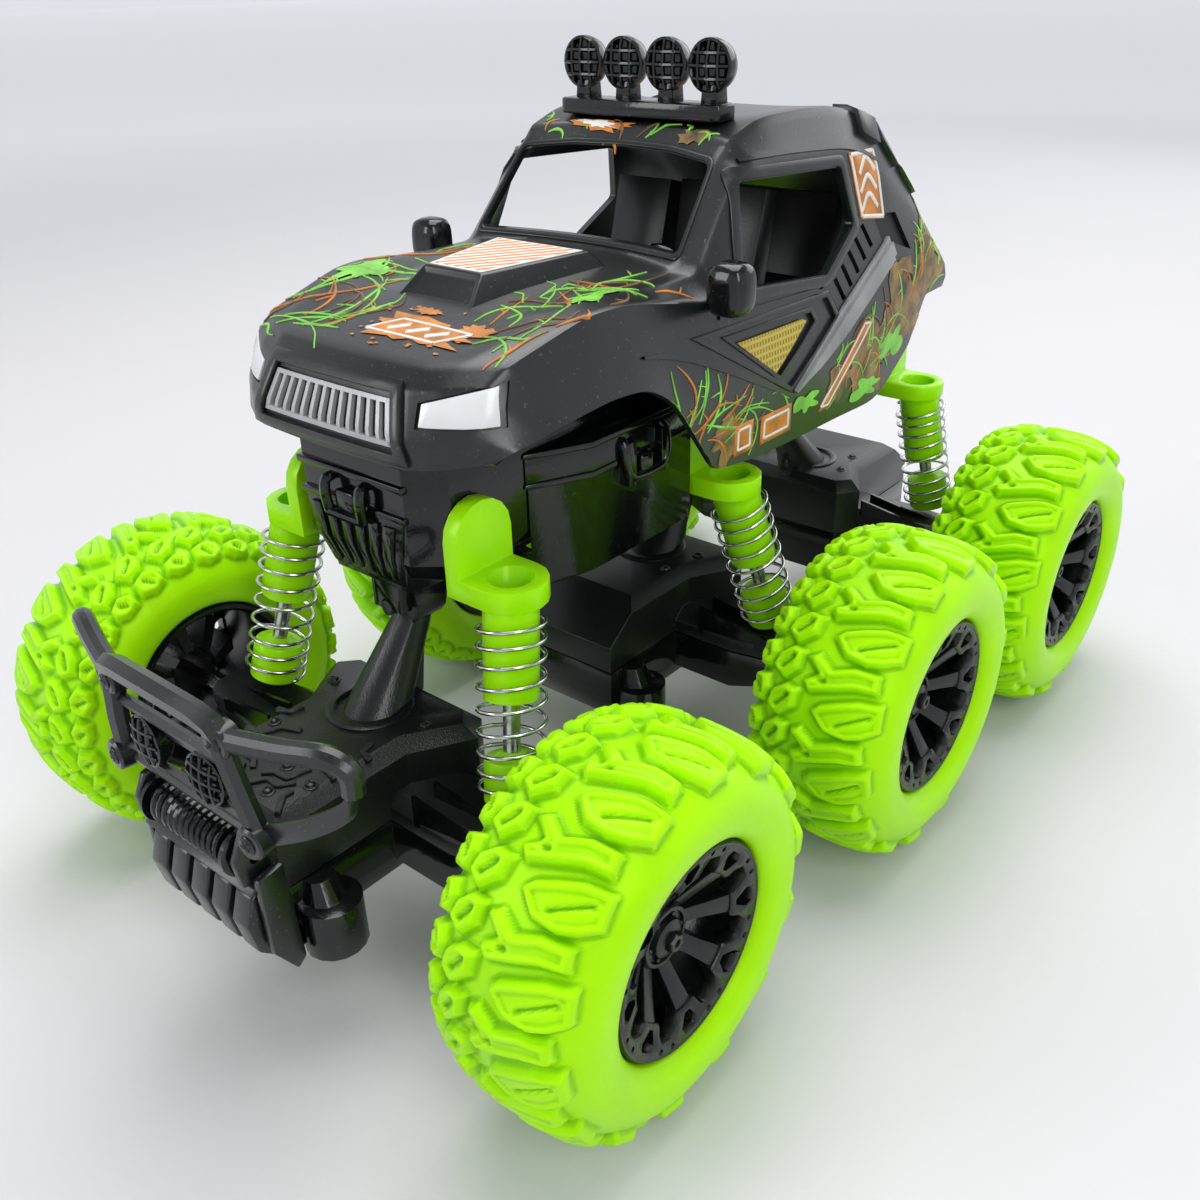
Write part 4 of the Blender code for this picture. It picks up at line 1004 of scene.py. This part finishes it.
# Cloudy splashes on each side, as (middle, half size).
SIDE_HAZE = [((149, 105.5), (14, 6.5)), ((152, 114), (6, 7)), ((136, 98), (14, 8.5)), ((122, 91), (13, 7.5)),
             ((108, 89.5), (6, 3.5)), ((66.5, 89), (6, 4.5))]
SIDE_LIME = [((150, 118), (1.6, 5)), ((132, 92), (6, 3.4)), ((94, 88.5), (5, 2.2)), ((120, 84.5), (7, 2.2)),
             ((157, 108), (2.0, 3.0))]


def inside(outline, place):
    """Whether a point lies in an outline."""
    hit = False
    for (a0, b0), (a1, b1) in zip(outline, outline[1:] + outline[:1]):
        if (b0 > place.y) != (b1 > place.y) and place.x < a0 + (place.y - b0) * (a1 - a0) / (b1 - b0):
            hit = not hit
    return hit


def heads(angle):
    """Step of length one at an angle."""
    return Vector((math.cos(angle), math.sin(angle)))


def scribble(rng, view, start, heading, length, width):
    """One loose curling stroke with a short side shoot, stopped where the print must stay clear."""
    points, place, angle = [start], Vector(start), math.radians(heading)
    curl = rng.uniform(-0.5, 0.5)
    clear_of = KEEP_CLEAR["side" if view in SIDES else view]
    for _ in range(5):
        angle += curl + rng.uniform(-0.16, 0.16)
        place = place + heads(angle) * length / 5
        facing = abs(on_skin(*place, view)[1].dot(LOOK[view]))
        if facing < 0.6 or any(inside(outline, place) for outline in clear_of):
            break
        points.append(tuple(place))
    strokes = []
    if len(points) > 2 and not any(inside(outline, Vector(start)) for outline in clear_of):
        strokes.append(skin_ribbon(points, view, [0.12, width, width * 0.8, 0.1]))
        shoot = Vector(points[2]) + heads(angle + 1.0) * length / 6
        strokes.append(skin_ribbon([points[1], points[2], tuple(shoot)], view, [0.1, width * 0.7, 0.1]))
    return strokes


def splash(rng, view, centre, size, lift=0.15, points=22, ragged=True):
    """Paint splash that follows the shell, with a ragged or a cloudy outline."""
    bm = bmesh.new()
    middle, normal = on_skin(*centre, view)
    hub = bm.verts.new(middle + normal * lift)
    radii = [rng.uniform(0.55, 1.0) if k % 2 else rng.uniform(0.8, 1.3) for k in range(points)]
    if not ragged:
        phases = [rng.uniform(0, 2 * math.pi) for _ in range(6)]
        radii = [0.9 + 0.12 * sum(math.sin((wave + 2) * 2 * math.pi * k / points + phase)
                                  for wave, phase in enumerate(phases)) for k in range(points)]
    rings = []
    for share in (0.35, 0.7, 1.0):
        ring = []
        for k, radius in enumerate(radii):
            angle = 2 * math.pi * k / points
            reach = share * (radius if share == 1.0 else 0.85)
            point, normal = on_skin(centre[0] + size[0] * reach * math.cos(angle),
                                    centre[1] + size[1] * reach * math.sin(angle), view)
            if (point - middle).length > 2.5 * max(size):
                point = middle
            ring.append(bm.verts.new(point + normal * lift))
        rings.append(ring)
    for k in range(points):
        j = (k + 1) % points
        bm.faces.new((hub, rings[0][k], rings[0][j]))
        for low, high in zip(rings, rings[1:]):
            bm.faces.new((low[k], high[k], high[j], low[j]))
    bmesh.ops.recalc_face_normals(bm, faces=bm.faces)
    return bm


def strokes(points, view, width, lift=0.30):
    """Straight printed lines from each point to the next."""
    return [skin_ribbon([one, two], view, [width, width], lift) for one, two in zip(points, points[1:])]


def badge(view, centre, size, slant):
    """Plain racing badge: slanted plate outline with three speed bars."""
    (cx, cy), (w, h) = centre, size

    def at(u, v):
        return (cx + (u * w / 2 + slant * v * h / 2), cy + v * h / 2)

    lines = strokes([at(-0.8, 1), at(1, 1), at(0.8, -1), at(-1, -1), at(-0.8, 1)], view, 0.5, 0.26)
    for u in (-0.5, 0.0, 0.5):
        lines += strokes([at(u - 0.12, -0.5), at(u + 0.12, 0.5)], view, 1.1, 0.26)
    return lines


def side_plates(view):
    """Orange plates of one side and their white outlines: two labels, a chevron board and a stripe."""
    orange, white = [], []
    for y0, z0, y1, z1 in ((68.4, 84.4, 74.6, 90.6), (77.4, 84.2, 88.4, 90.0)):
        orange.append(skin_panel(rectangle(y0, z0, y1, z1), view, 0.2, 0.2))
        inner = rectangle(y0 + LABEL_INSET, z0 + LABEL_INSET, y1 - LABEL_INSET, z1 - LABEL_INSET)
        white += strokes(inner + inner[:1], view, 0.55)
    orange.append(skin_panel([(118.0, 120.8), (128.3, 119.4), (127.0, 133.6), (115.0, 134.0)], view,
                             0.2, 0.2, (4, 8)))
    board = [(118.5, 121.3), (127.8, 120.0), (126.6, 133.2), (115.7, 133.5)]
    white += strokes(board + board[:1], view, 0.8)
    white += [skin_ribbon([(118.6, z - 1.7), (122.0, z + 1.3), (125.6, z - 1.7)], view, [0.9, 1.0, 0.9], 0.30)
              for z in (124.0, 127.6, 131.2)]
    orange.append(skin_panel([(99.6, 84.8), (103.8, 84.6), (121.4, 99.2), (117.4, 100.2)], view,
                             0.2, 0.2, (3, 10)))
    stripe = [(100.6, 85.5), (103.5, 85.4), (120.2, 99.1), (117.5, 99.6)]
    white += strokes(stripe + stripe[:1], view, 0.45)
    return orange, white


def add_graphics():
    """Scribbles, splashes and plates, each ink joined into one piece."""
    rng = random.Random(7)
    lime, orange, brown, white, haze = inks = [[] for _ in INKS]
    for area_view, low, high, heading, spread, lengths, limes, browns in SCRIBBLE_AREAS:
        for view in SIDES if area_view == "side" else (area_view,):
            for k in range(limes + browns):
                ink = lime if k < limes else rng.choice((orange, brown))
                start = (rng.uniform(low[0], high[0]), rng.uniform(low[1], high[1]))
                ink += scribble(rng, view, start, heading + rng.uniform(-spread, spread),
                                rng.uniform(*lengths), rng.uniform(0.28, 0.62))
    for centre, size in (((6.5, 16.4), (12.0, 4.6)), ((17.0, 20.0), (4.0, 2.2)), ((3.0, 22.6), (3.2, 1.2))):
        orange.append(splash(rng, "top", centre, size))
    for _ in range(SPATTERS):
        angle, reach = rng.uniform(0, 6.28), rng.uniform(9, 15)
        spot = (6.5 + reach * math.cos(angle), 17 + 0.55 * reach * math.sin(angle))
        orange.append(splash(rng, "top", spot, (rng.uniform(0.25, 0.8), rng.uniform(0.2, 0.4)), 0.16, 8))
    white += badge("top", (6.8, 16.4), (18, 4.8), 0.5)
    orange.append(splash(rng, "top", (-8, 82.2), (8, 1.2)))
    white.append(splash(rng, "top", (-9, 82.2), (5, 0.7), 0.22))
    lime += [splash(rng, "top", centre, size, 0.16, 40, False)
             for centre, size in (((-25, 32), (4.0, 6.0)), ((24.5, 40), (2.4, 6.5)))]
    haze.append(splash(rng, "top", (16, 80.6), (4, 1.4)))
    haze.append(splash(rng, "top", (0, 96), (15, 9), 0.11, 40, False))
    for view in SIDES:
        haze += [splash(rng, view, centre, size, 0.11, 40, False) for centre, size in SIDE_HAZE]
        lime += [splash(rng, view, centre, size, 0.16, 40, False) for centre, size in SIDE_LIME]
        plates, lines = side_plates(view)
        orange += plates
        white += lines
    for ink, shapes in zip(INKS, inks):
        piece(f"{ink}_graphics", join(*shapes), ink, smooth=180)


# ---------------------------------------------------------------- front guard, winch and gearboxes


def strip(points, wide, low, high):
    """Flat bar along an (x, y) line, pushed out between two heights."""
    points = [Vector(p) for p in points]
    left, right = [], []
    for k, point in enumerate(points):
        ahead = (points[min(k + 1, len(points) - 1)] - points[max(k - 1, 0)]).normalized()
        side = Vector((-ahead.y, ahead.x)) * wide / 2
        left.append(tuple(point + side))
        right.append(tuple(point - side))
    return slab(left + right[::-1], low, high)


def cross_bolt(centre, direction, radius=2.0):
    """Round bolt head with a crossed slot, as its head and a near-black cross painted as the slot's shade."""
    head = turned([(radius, -0.6), (radius, 0.35), (radius * 0.82, 0.6), (0, 0.6)], centre, direction, 28)
    turn = Matrix.Translation(Vector(centre)) @ frame_along(direction)
    slots = []
    for x, y in ((radius * 0.6, 0.32), (0.32, radius * 0.6)):
        slot_bar = block(-x, x, -y, y, 0.2, 0.66)
        slot_bar.transform(turn @ Matrix.Rotation(0.5, 4, "Z"))
        slots.append(slot_bar)
    return head, join(*slots)


def cage_lamp(centre, radius, depth, direction):
    """Round lamp in a cage: bowl, ring, domed lens and crossing bars."""
    bowl = turned([(radius * 0.45, -depth), (radius * 0.9, -depth * 0.55), (radius, -depth * 0.2),
                   (radius, 0.3), (radius * 0.9, 0.5), (radius * 0.84, 0.2), (radius * 0.84, -0.6),
                   (0, -0.6), (0, -depth)], (0, 0, 0), (0, 0, 1), 32)
    bars = []
    for k in range(-1, 2):
        place = k * radius * 0.46
        reach = math.sqrt((radius * 0.9) ** 2 - place ** 2)
        for along_x in (True, False):
            line = []
            for t in (-1, -0.6, 0, 0.6, 1):
                spot = (t * reach, place) if along_x else (place, t * reach)
                dome = 0.9 * (1 - (spot[0] ** 2 + spot[1] ** 2) / radius ** 2)
                line.append((*spot, 0.2 + dome))
            bars.append(tube(line, radius * 0.085, 6))
    lamp = join(bowl, *bars)
    lamp.transform(Matrix.Translation(Vector(centre)) @ frame_along(direction))
    return lamp


def add_front_guard():
    """Bent guard bars with their wings, cross-slot bolts and two caged lamps."""
    bars = [tube([(-15.2, -37.0, 68.6), (-14.2, -37.6, 71.2), (-11.0, -38.0, 72.2), (11.0, -38.0, 72.2),
                  (14.2, -37.6, 71.2), (15.2, -37.0, 68.6)], 2.0, 6),
            tube([(-16.4, -36.6, 64.0), (16.4, -36.6, 64.0)], 1.1, 6),
            slab(trapezoid(14.6, 60.4, 14.0, 63.6), -35.9, -35.2, "y")]
    bars += [tube([(-18.6, -36.2, z), (18.6, -36.2, z)], 0.8, 6) for z in (53.6, 51.4)]
    heads, slots = [], []
    for side in (1, -1):
        facing = (side * 0.12, -1, 0)
        post = [(15.0, -37.2, 68.3), (17.2, -36.8, 60.0), (19.0, -36.0, 51.4)]
        bars.append(tube(sided(side, post), 1.9, 8))
        for x, z in ((15.0, 68.3), (19.0, 51.4)):
            bars.append(turned([(2.9, -2.4), (2.9, 0.7), (2.5, 1.1), (0, 1.1), (0, -2.4)],
                               (side * x, -37.4, z), facing, 32))
            head, slot_shape = cross_bolt((side * x, -38.3, z), facing, 1.7)
            heads.append(head)
            slots.append(slot_shape)
        wing = [(15.6, -36.8, 68.8), (25.4, -34.0, 69.4), (33.0, -31.6, 70.2), (36.2, -30.2, 68.4),
                (36.0, -29.8, 64.4)]
        bars.append(tube(smooth_path(sided(side, wing), 6), 1.9, 10))
        band = [(36.0, -29.8, 65.0), (34.6, -30.4, 60.8), (28.0, -32.8, 56.0), (19.2, -35.6, 51.8)]
        rings = [[point + Vector((0, y, z)) for y, z in rectangle(-0.9, -2.2, 0.9, 1.8)]
                 for point in smooth_path(sided(side, band), 6)]
        bars.append(round_edges(loft(rings), 0.35))
        bars.append(tube(sided(side, [(8.6, -34.6, 60.6), (8.6, -33.4, 63.4)]), 1.2, 8))
        lamp = cage_lamp((side * 8.4, -37.2, 58.4), 4.7, 4.0, (side * 0.06, -1, 0.05))
        piece(f"{SIDE_NAME[side]}_guard_lamp", lamp, "gloss_black", "front_axle")
    piece("front_guard", join(*bars), "satin_black", "front_axle", ("bull_bar",), smooth=35)
    piece("front_guard_bolts", join(*heads), "gloss_black", "front_axle")
    # The slots are raised near-black bars: painted shade of the cross slots.
    piece("front_guard_bolt_slot_shade", join(*slots), "painted_shade_black", "front_axle")


WINCH_CENTRE = (-35.4, 44.4)
SKID_RIBS = 5


def add_winch():
    """Drum wound with cord between two flanged ends."""
    drum = [turned([(2.6, -11.2), (2.6, 11.2), (0, 11.2), (0, -11.2)], (0, *WINCH_CENTRE), (1, 0, 0), 24)]
    wraps, pitch, steps, wrap_radius = 12, 1.62, 20, 3.15
    line = []
    for k in range(wraps * steps + 1):
        angle = 2 * math.pi * k / steps
        line.append((-wraps * pitch / 2 + pitch * k / steps, WINCH_CENTRE[0] + wrap_radius * math.cos(angle),
                     WINCH_CENTRE[1] + wrap_radius * math.sin(angle)))
    drum.append(tube(line, 0.72, 8))
    for side in (1, -1):
        drum.append(turned([(4.3, 0), (4.3, 0.9), (3.7, 1.2), (1.8, 1.2), (1.5, 0.9), (0, 0.9), (0, 0)],
                           (side * 11.0, *WINCH_CENTRE), (side, 0, 0), 36))
        drum.append(tube([(side * 11.5, *WINCH_CENTRE), (side * 14.6, *WINCH_CENTRE)], 0.9, 10))
    piece("winch_wound_drum", join(*drum), "gloss_black", "front_axle", ("winch_drum",))


def add_skid():
    """Cradle of the winch over a ribbed skid plate."""
    ear = [(-38.2, 40.0), (-39.0, 45.2), (-37.0, 49.2), (-32.0, 50.2), (-30.8, 38.4)]
    flange = [(-37.0, 41.6), (-32.0, 42.6), (-30.8, 21.6), (-32.8, 20.0), (-36.6, 26.0)]
    shelf = [(-38.0, 38.4), (-36.4, 39.8), (-30.9, 39.8), (-30.9, 36.0)]
    rib = [(-31.2, 38.8), (-37.2, 36.9), (-38.9, 31.6), (-37.6, 25.4), (-33.6, 21.6), (-31.2, 21.6)]
    plates = []
    for side in (1, -1):
        plates += [(ear, side * 13.0, side * 14.6, 0.4), (flange, side * 15.4, side * 17.2, 0.4)]
    plates.append((shelf, -15.6, 15.6, 0.35))
    for k in range(SKID_RIBS):
        x = (k - SKID_RIBS // 2) * 6.0
        plates.append((rib, x - 2.3, x + 2.3, 0.5))
    shapes = [round_edges(slab(outline, low, high, "x"), width) for outline, low, high, width in plates]
    piece("front_skid", join(*shapes), "satin_black", "front_axle")
    nub = turned([(1.7, 0), (1.7, 2.2), (1.2, 2.8), (0, 2.8)], (13.6, -29.4, 21.8), (0.1, -0.3, -1), 24)
    piece("front_skid_nub", nub, "cream_plastic", "front_axle")


COVER_TOP = 48.0
RIVET = [(1.35, -0.1), (1.35, 0.12), (1.05, 0.22), (0.95, 0.22), (0.8, 0.62), (0.4, 0.82), (0, 0.85)]
COLLAR = [(8.2, -0.3), (8.2, 0.35), (7.8, 0.6), (6.8, 0.6), (6.4, 0.2), (6.4, -0.3)]
FRONT_RIVETS = [(6.2, -26), (10.6, -20.5), (10.2, -12.5), (3.0, -19.5), (12.8, 3.5)]
OTHER_RIVETS = [(10.0, -6.0), (12.0, 4.0)]
COVER_LINES = [[(12.4, -28.6), (9.6, -25.4), (9.6, -23.4)],
               [(1.2, -27.6), (3.4, -24.0), (6.6, -24.0), (8.2, -21.6)],
               [(1.2, -23.6), (3.0, -22.0), (6.0, -22.0), (7.0, -17.6)],
               [(12.6, -16.8), (8.6, -16.2), (7.4, -13.0), (3.6, -11.4)],
               [(13.2, -9.6), (10.4, -9.0), (9.6, -6.2)]]


def add_gearbox_details():
    """Rivets, stepped ribs and a collar on each cover, and gussets on the arms."""
    for place in PLACES:
        way, y0 = -1 if place == "rear" else 1, AXLE_Y[place]

        def laid(points):
            return [(x, y0 + way * y) for x, y in points]

        shapes = []
        for spot in FRONT_RIVETS if place == "front" else OTHER_RIVETS:
            shapes += [turned(RIVET, (*at, COVER_TOP), (0, 0, 1), 20) for side in (1, -1)
                       for at in laid(sided(side, [spot]))]
        for side in (1, -1) if place == "front" else ():
            strips = [strip(laid(sided(side, line)), 1.15, COVER_TOP - 0.3, COVER_TOP + 0.5)
                      for line in COVER_LINES]
            shapes += [round_edges(shape, 0.15, 1) for shape in strips]
        shapes.append(turned(COLLAR, (0, y0 + way * 1.6, COVER_TOP), (0, 0, 1), 48))
        piece(f"{place}_cover_ribs", join(*shapes), "textured_black", f"{place}_axle")
        gussets = []
        for side in (1, -1):
            for shift in (0, 5.2):
                ends = [[Vector((side * x, y0 + y + shift, z)) for y, z in
                         ((back, top), (back + 0.7, top), (back + 0.7, 36.0), (back, 36.0))]
                        for x, back, top in ((20.5, -7.6, 42.5), (38.0, -6.2, 38.8))]
                gussets.append(loft(ends))
        piece(f"{place}_arm_gussets", join(*gussets), "gloss_black", f"{place}_axle")


# ---------------------------------------------------------------- chassis boxes, mirrors and roof lamps


FLUTES = 6
MIRROR_BULGE = ((-3.2, 0.35), (-3.0, 0.72), (-2.2, 0.93), (-0.6, 1.0), (1.6, 1.0), (2.4, 0.94), (2.7, 0.8))


def add_front_box():
    """Lid rim, tapered fluted panel and hooked latch on the nose of the chassis."""
    front = box_mm("chassis_tub")[0].y

    def across(half, proud, deep, z):
        return [Vector((x, front + y, z)) for x, y in rectangle(-half, proud, half, deep)]

    shapes = [block(-13.6, 13.6, front - 1.0, front + 1.0, 93.2, 94.6),
              block(-13.4, 13.4, front - 0.9, front + 1.0, 87.6, 89.0),
              loft([across(9.5, 1.3, 3.0, 74.2), across(11.4, -0.4, 1.4, 80.6),
                    across(12.6, -0.5, 1.4, 88.0)])]
    for k in range(FLUTES):
        low_x, high_x = (k - (FLUTES - 1) / 2) * 3.0, (k - (FLUTES - 1) / 2) * 3.8
        rings = [[spot + Vector((x, 0, 0)) for spot in across(half, proud, proud + 1.2, z)]
                 for x, half, proud, z in ((low_x, 0.8, 0.8, 75.2), ((low_x + high_x) / 2, 1.1, -1.0, 80.6),
                                           (high_x, 1.3, -1.2, 86.8))]
        shapes.append(loft(rings))
    piece("front_box_flutes", join(*(round_edges(shape, 0.35) for shape in shapes)), "gloss_black")
    hook = [(4.4, front - 0.4, 92.8), (4.5, front - 2.0, 92.2), (4.5, front - 2.4, 89.8),
            (4.3, front - 2.0, 86.4)]
    latch = [tube(smooth_path(sided(side, hook), 4), 0.95, 8) for side in (1, -1)]
    latch.append(tube([(-4.4, front - 2.2, 86.6), (4.4, front - 2.2, 86.6)], 0.85, 8))
    latch.append(round_edges(block(-2.6, 2.6, front - 2.2, front - 0.4, 87.2, 91.2), 0.7))
    piece("front_box_latch", join(*latch), "gloss_black")


def add_side_boxes():
    """Lid bands and clip of each box on the chassis side."""
    for side_name, side in SIDES.items():
        low, high = box_mm(f"{side_name}_side_box")
        inner = min(abs(low.x), abs(high.x))

        def shelf(outline, bottom, top, width):
            return round_edges(slab(sided(side, outline), bottom, top), width)

        shapes = [shelf([(inner, low.y - proud), (24.7 + proud, 38.2), (24.7 + proud, high.y + proud),
                         (inner, high.y + proud)], bottom, bottom + 1.3, 0.3)
                  for bottom, proud in ((87.7, 0.35), (93.4, 0.45))]
        shapes.append(shelf([(inner, low.y + 2.2), (22.6, 39.6), (22.6, high.y - 1.6), (inner, high.y - 1.6)],
                            67.6, 69.6, 0.6))
        clip = [(24.6, 46.6, 92.4), (25.6, 46.4, 91.0), (26.0, 46.8, 86.6), (26.0, 49.0, 84.7),
                (26.0, 56.2, 84.7), (26.0, 58.3, 86.6), (25.6, 58.6, 91.0), (24.6, 58.4, 92.4)]
        shapes.append(tube(smooth_path(sided(side, clip), 5), 1.0, 10))
        shapes.append(round_edges(block(*sorted((side * 24.2, side * 26.4)), 50.6, 54.4, 83.8, 88.4), 0.6))
        refined(f"{side_name}_side_box", "gloss_black", 0.6, shapes)


def add_mirrors():
    """Rounded housings on short arms, a little ahead of the CAD ones."""
    for side_name, side in SIDES.items():
        low, high = box_mm(f"{side_name}_mirror")
        x, y, z = (low + high) / 2
        rings = []
        for depth, spread in MIRROR_BULGE:
            ring = []
            for k in range(28):
                c, s = math.cos(2 * math.pi * k / 28), math.sin(2 * math.pi * k / 28)
                wide, tall = math.copysign(abs(c) ** 0.55, c), math.copysign(abs(s) ** 0.6, s)
                ring.append(Vector((x - side * 0.4 + 3.9 * spread * wide, y - 3.4 + depth,
                                    z + 0.2 + 4.7 * spread * tall)))
            rings.append(ring)
        arm = tube([(side * 32.6, y - 0.6, z - 3.2), (x, y - 2.6, z - 1.6)], 1.7, 10)
        piece(f"{side_name}_mirror_housing", join(loft(rings), arm), "gloss_black", "chassis",
              (f"{side_name}_mirror",))


def add_roof_lamps():
    """Bar of four round lamps with moulded grids on short posts."""
    middle_y = sum(corner.y for corner in box_mm("roof_light_bar")) / 2
    bar = [(-19.4, 83.4), (-17.6, 82.6), (17.6, 82.6), (19.4, 83.4), (19.4, 88.6), (17.8, 89.8),
           (-17.8, 89.8), (-19.4, 88.6)]
    shapes = [round_edges(slab(bar, 142.2, 145.2), 0.45)]
    for x in (-15.4, -5.2, 5.2, 15.4):
        post = [(x - 1.9, 145.0), (x + 1.9, 145.0), (x + 1.6, 148.4), (x - 1.6, 148.4)]
        shapes.append(round_edges(slab(post, middle_y - 1.6, middle_y + 2.2, "y"), 0.3))
        shapes.append(cage_lamp((x, middle_y - 1.2, 151.6), 4.85, 4.6, (0, -1, 0)))
    piece("roof_lamp_bar", join(*shapes), "gloss_black", "chassis", ("roof_light_bar",))


# ---------------------------------------------------------------- floor, light and camera


ROOM_REACH, ROOM_HEIGHT = 8.0, 6.0
# Lamps, as name: place, size and power.
LAMPS = {"overhead": ((-0.10, 0.15, 0.75), (0.55, 0.75), 5.2),
         "front_left": ((0.62, -0.30, 0.50), (0.25, 0.6), 2.2),
         "front_right": ((-0.45, -0.75, 0.42), (0.3, 0.5), 2.2),
         "rear": ((0.1, 0.95, 0.5), (0.9, 0.4), 2.2)}


def add_floor():
    """Pale matte floor and far walls, which stay bright into the distance."""
    made = moulded("floor", (0.625, 0.615, 0.635), 0.62, 0.05, 0.002, 0.02, 0.04, mottle_size=0.3)
    distance = made.add("VectorMath", {0: made.place()}, operation="LENGTH").outputs["Value"]
    fade = made.add("MapRange", {"Value": distance, "From Min": 0.25, "From Max": 1.6, "To Max": 0.36},
                    interpolation_type="SMOOTHSTEP").outputs["Result"]
    made.feed(made.shader, {"Emission Color": (0.93, 0.97, 1.0, 1), "Emission Strength": fade})
    mesh = bpy.data.meshes.new("studio_floor")
    corners = [(x, y, z) for z in (0, ROOM_HEIGHT)
               for x, y in rectangle(-ROOM_REACH, -ROOM_REACH, ROOM_REACH, ROOM_REACH)]
    walls = [(k, k + 4, (k + 1) % 4 + 4, (k + 1) % 4) for k in range(4)]
    mesh.from_pydata(corners, [], [(0, 1, 2, 3), *walls])
    mesh.materials.append(FINISH["floor"])
    floor = bpy.data.objects.new("studio_floor", mesh)
    bpy.context.collection.objects.link(floor)
    floor.location.z = -0.0002


def add_light():
    """Soft pale surroundings and four large lamps that face the truck."""
    scene = bpy.context.scene
    scene.world = scene.world or bpy.data.worlds.new("studio")
    scene.world.use_nodes = True
    background = scene.world.node_tree.nodes["Background"]
    background.inputs["Color"].default_value = (0.93, 0.96, 1.0, 1)
    background.inputs["Strength"].default_value = 0.40
    scene.view_settings.view_transform = "Standard"
    for name, (place, size, power) in LAMPS.items():
        light = bpy.data.lights.new(name, "AREA")
        light.shape = "RECTANGLE"
        light.size, light.size_y = size
        light.energy = power
        lamp = bpy.data.objects.new(name, light)
        lamp.location = place
        lamp.rotation_euler = (Vector((0, 0, 0.06)) - Vector(place)).to_track_quat("-Z", "Y").to_euler()
        scene.collection.objects.link(lamp)


def add_camera():
    """Camera at the front left, above the bonnet, with a slight roll."""
    place, azimuth, elevation, roll = (151.6, -109.8, 168.1), 40.376, 28.360, -1.519
    az, el = math.radians(azimuth), math.radians(elevation)
    back = Vector((math.sin(az) * math.cos(el), -math.cos(az) * math.cos(el), math.sin(el)))
    right = Vector((math.cos(az), math.sin(az), 0))
    up = back.cross(right)
    turn = Matrix((right, up, back)).transposed().to_4x4() @ Matrix.Rotation(math.radians(roll), 4, "Z")
    data = bpy.data.cameras.new("camera")
    data.lens, data.sensor_width = 35.14, 36
    data.clip_start = 0.005
    camera = bpy.data.objects.new("camera", data)
    camera.matrix_world = Matrix.Translation(TO_ROW @ Vector(place)) @ turn
    bpy.context.collection.objects.link(camera)
    bpy.context.scene.camera = camera


# CAD nodes that keep their shape, with their finish and how far their corners are rounded.
ROUNDED_NODES = {"seat_tray": ("cabin_black", 1.0), "steering_wheel": ("gloss_black", 0.35),
                 "chassis_tub": ("gloss_black", 0.4), "battery_pack": ("battery_grey", 0.3),
                 "circuit_board": ("board_green", 0.15), "battery_door": ("satin_black", 0.3),
                 "power_switch": ("satin_black", 0.25)}
for axle in PLACES:
    ROUNDED_NODES[f"{axle}_axle_cover"] = ("textured_black", 0.5)
    ROUNDED_NODES[f"{axle}_axle_housing"] = ("gloss_black", 0.5)
    ROUNDED_NODES[f"{axle}_axle_shaft"] = ("shaft_steel", 0.2)
for axle in ("front", "rear"):
    ROUNDED_NODES[f"{axle}_motor"] = ("shaft_steel", 0.3)
    ROUNDED_NODES[f"{axle}_motor_pinion"] = ("cream_plastic", 0.1)


def main():
    for job in (add_floor, add_light, add_camera, add_wheels, add_shocks, add_shell, add_nose,
                add_side_details, add_rear_slats, add_scoop, add_graphics, add_front_guard, add_winch,
                add_skid, add_gearbox_details, add_front_box, add_side_boxes, add_mirrors, add_roof_lamps):
        job()
    for node, (finish, width) in ROUNDED_NODES.items():
        refined(node, finish, width)


main()
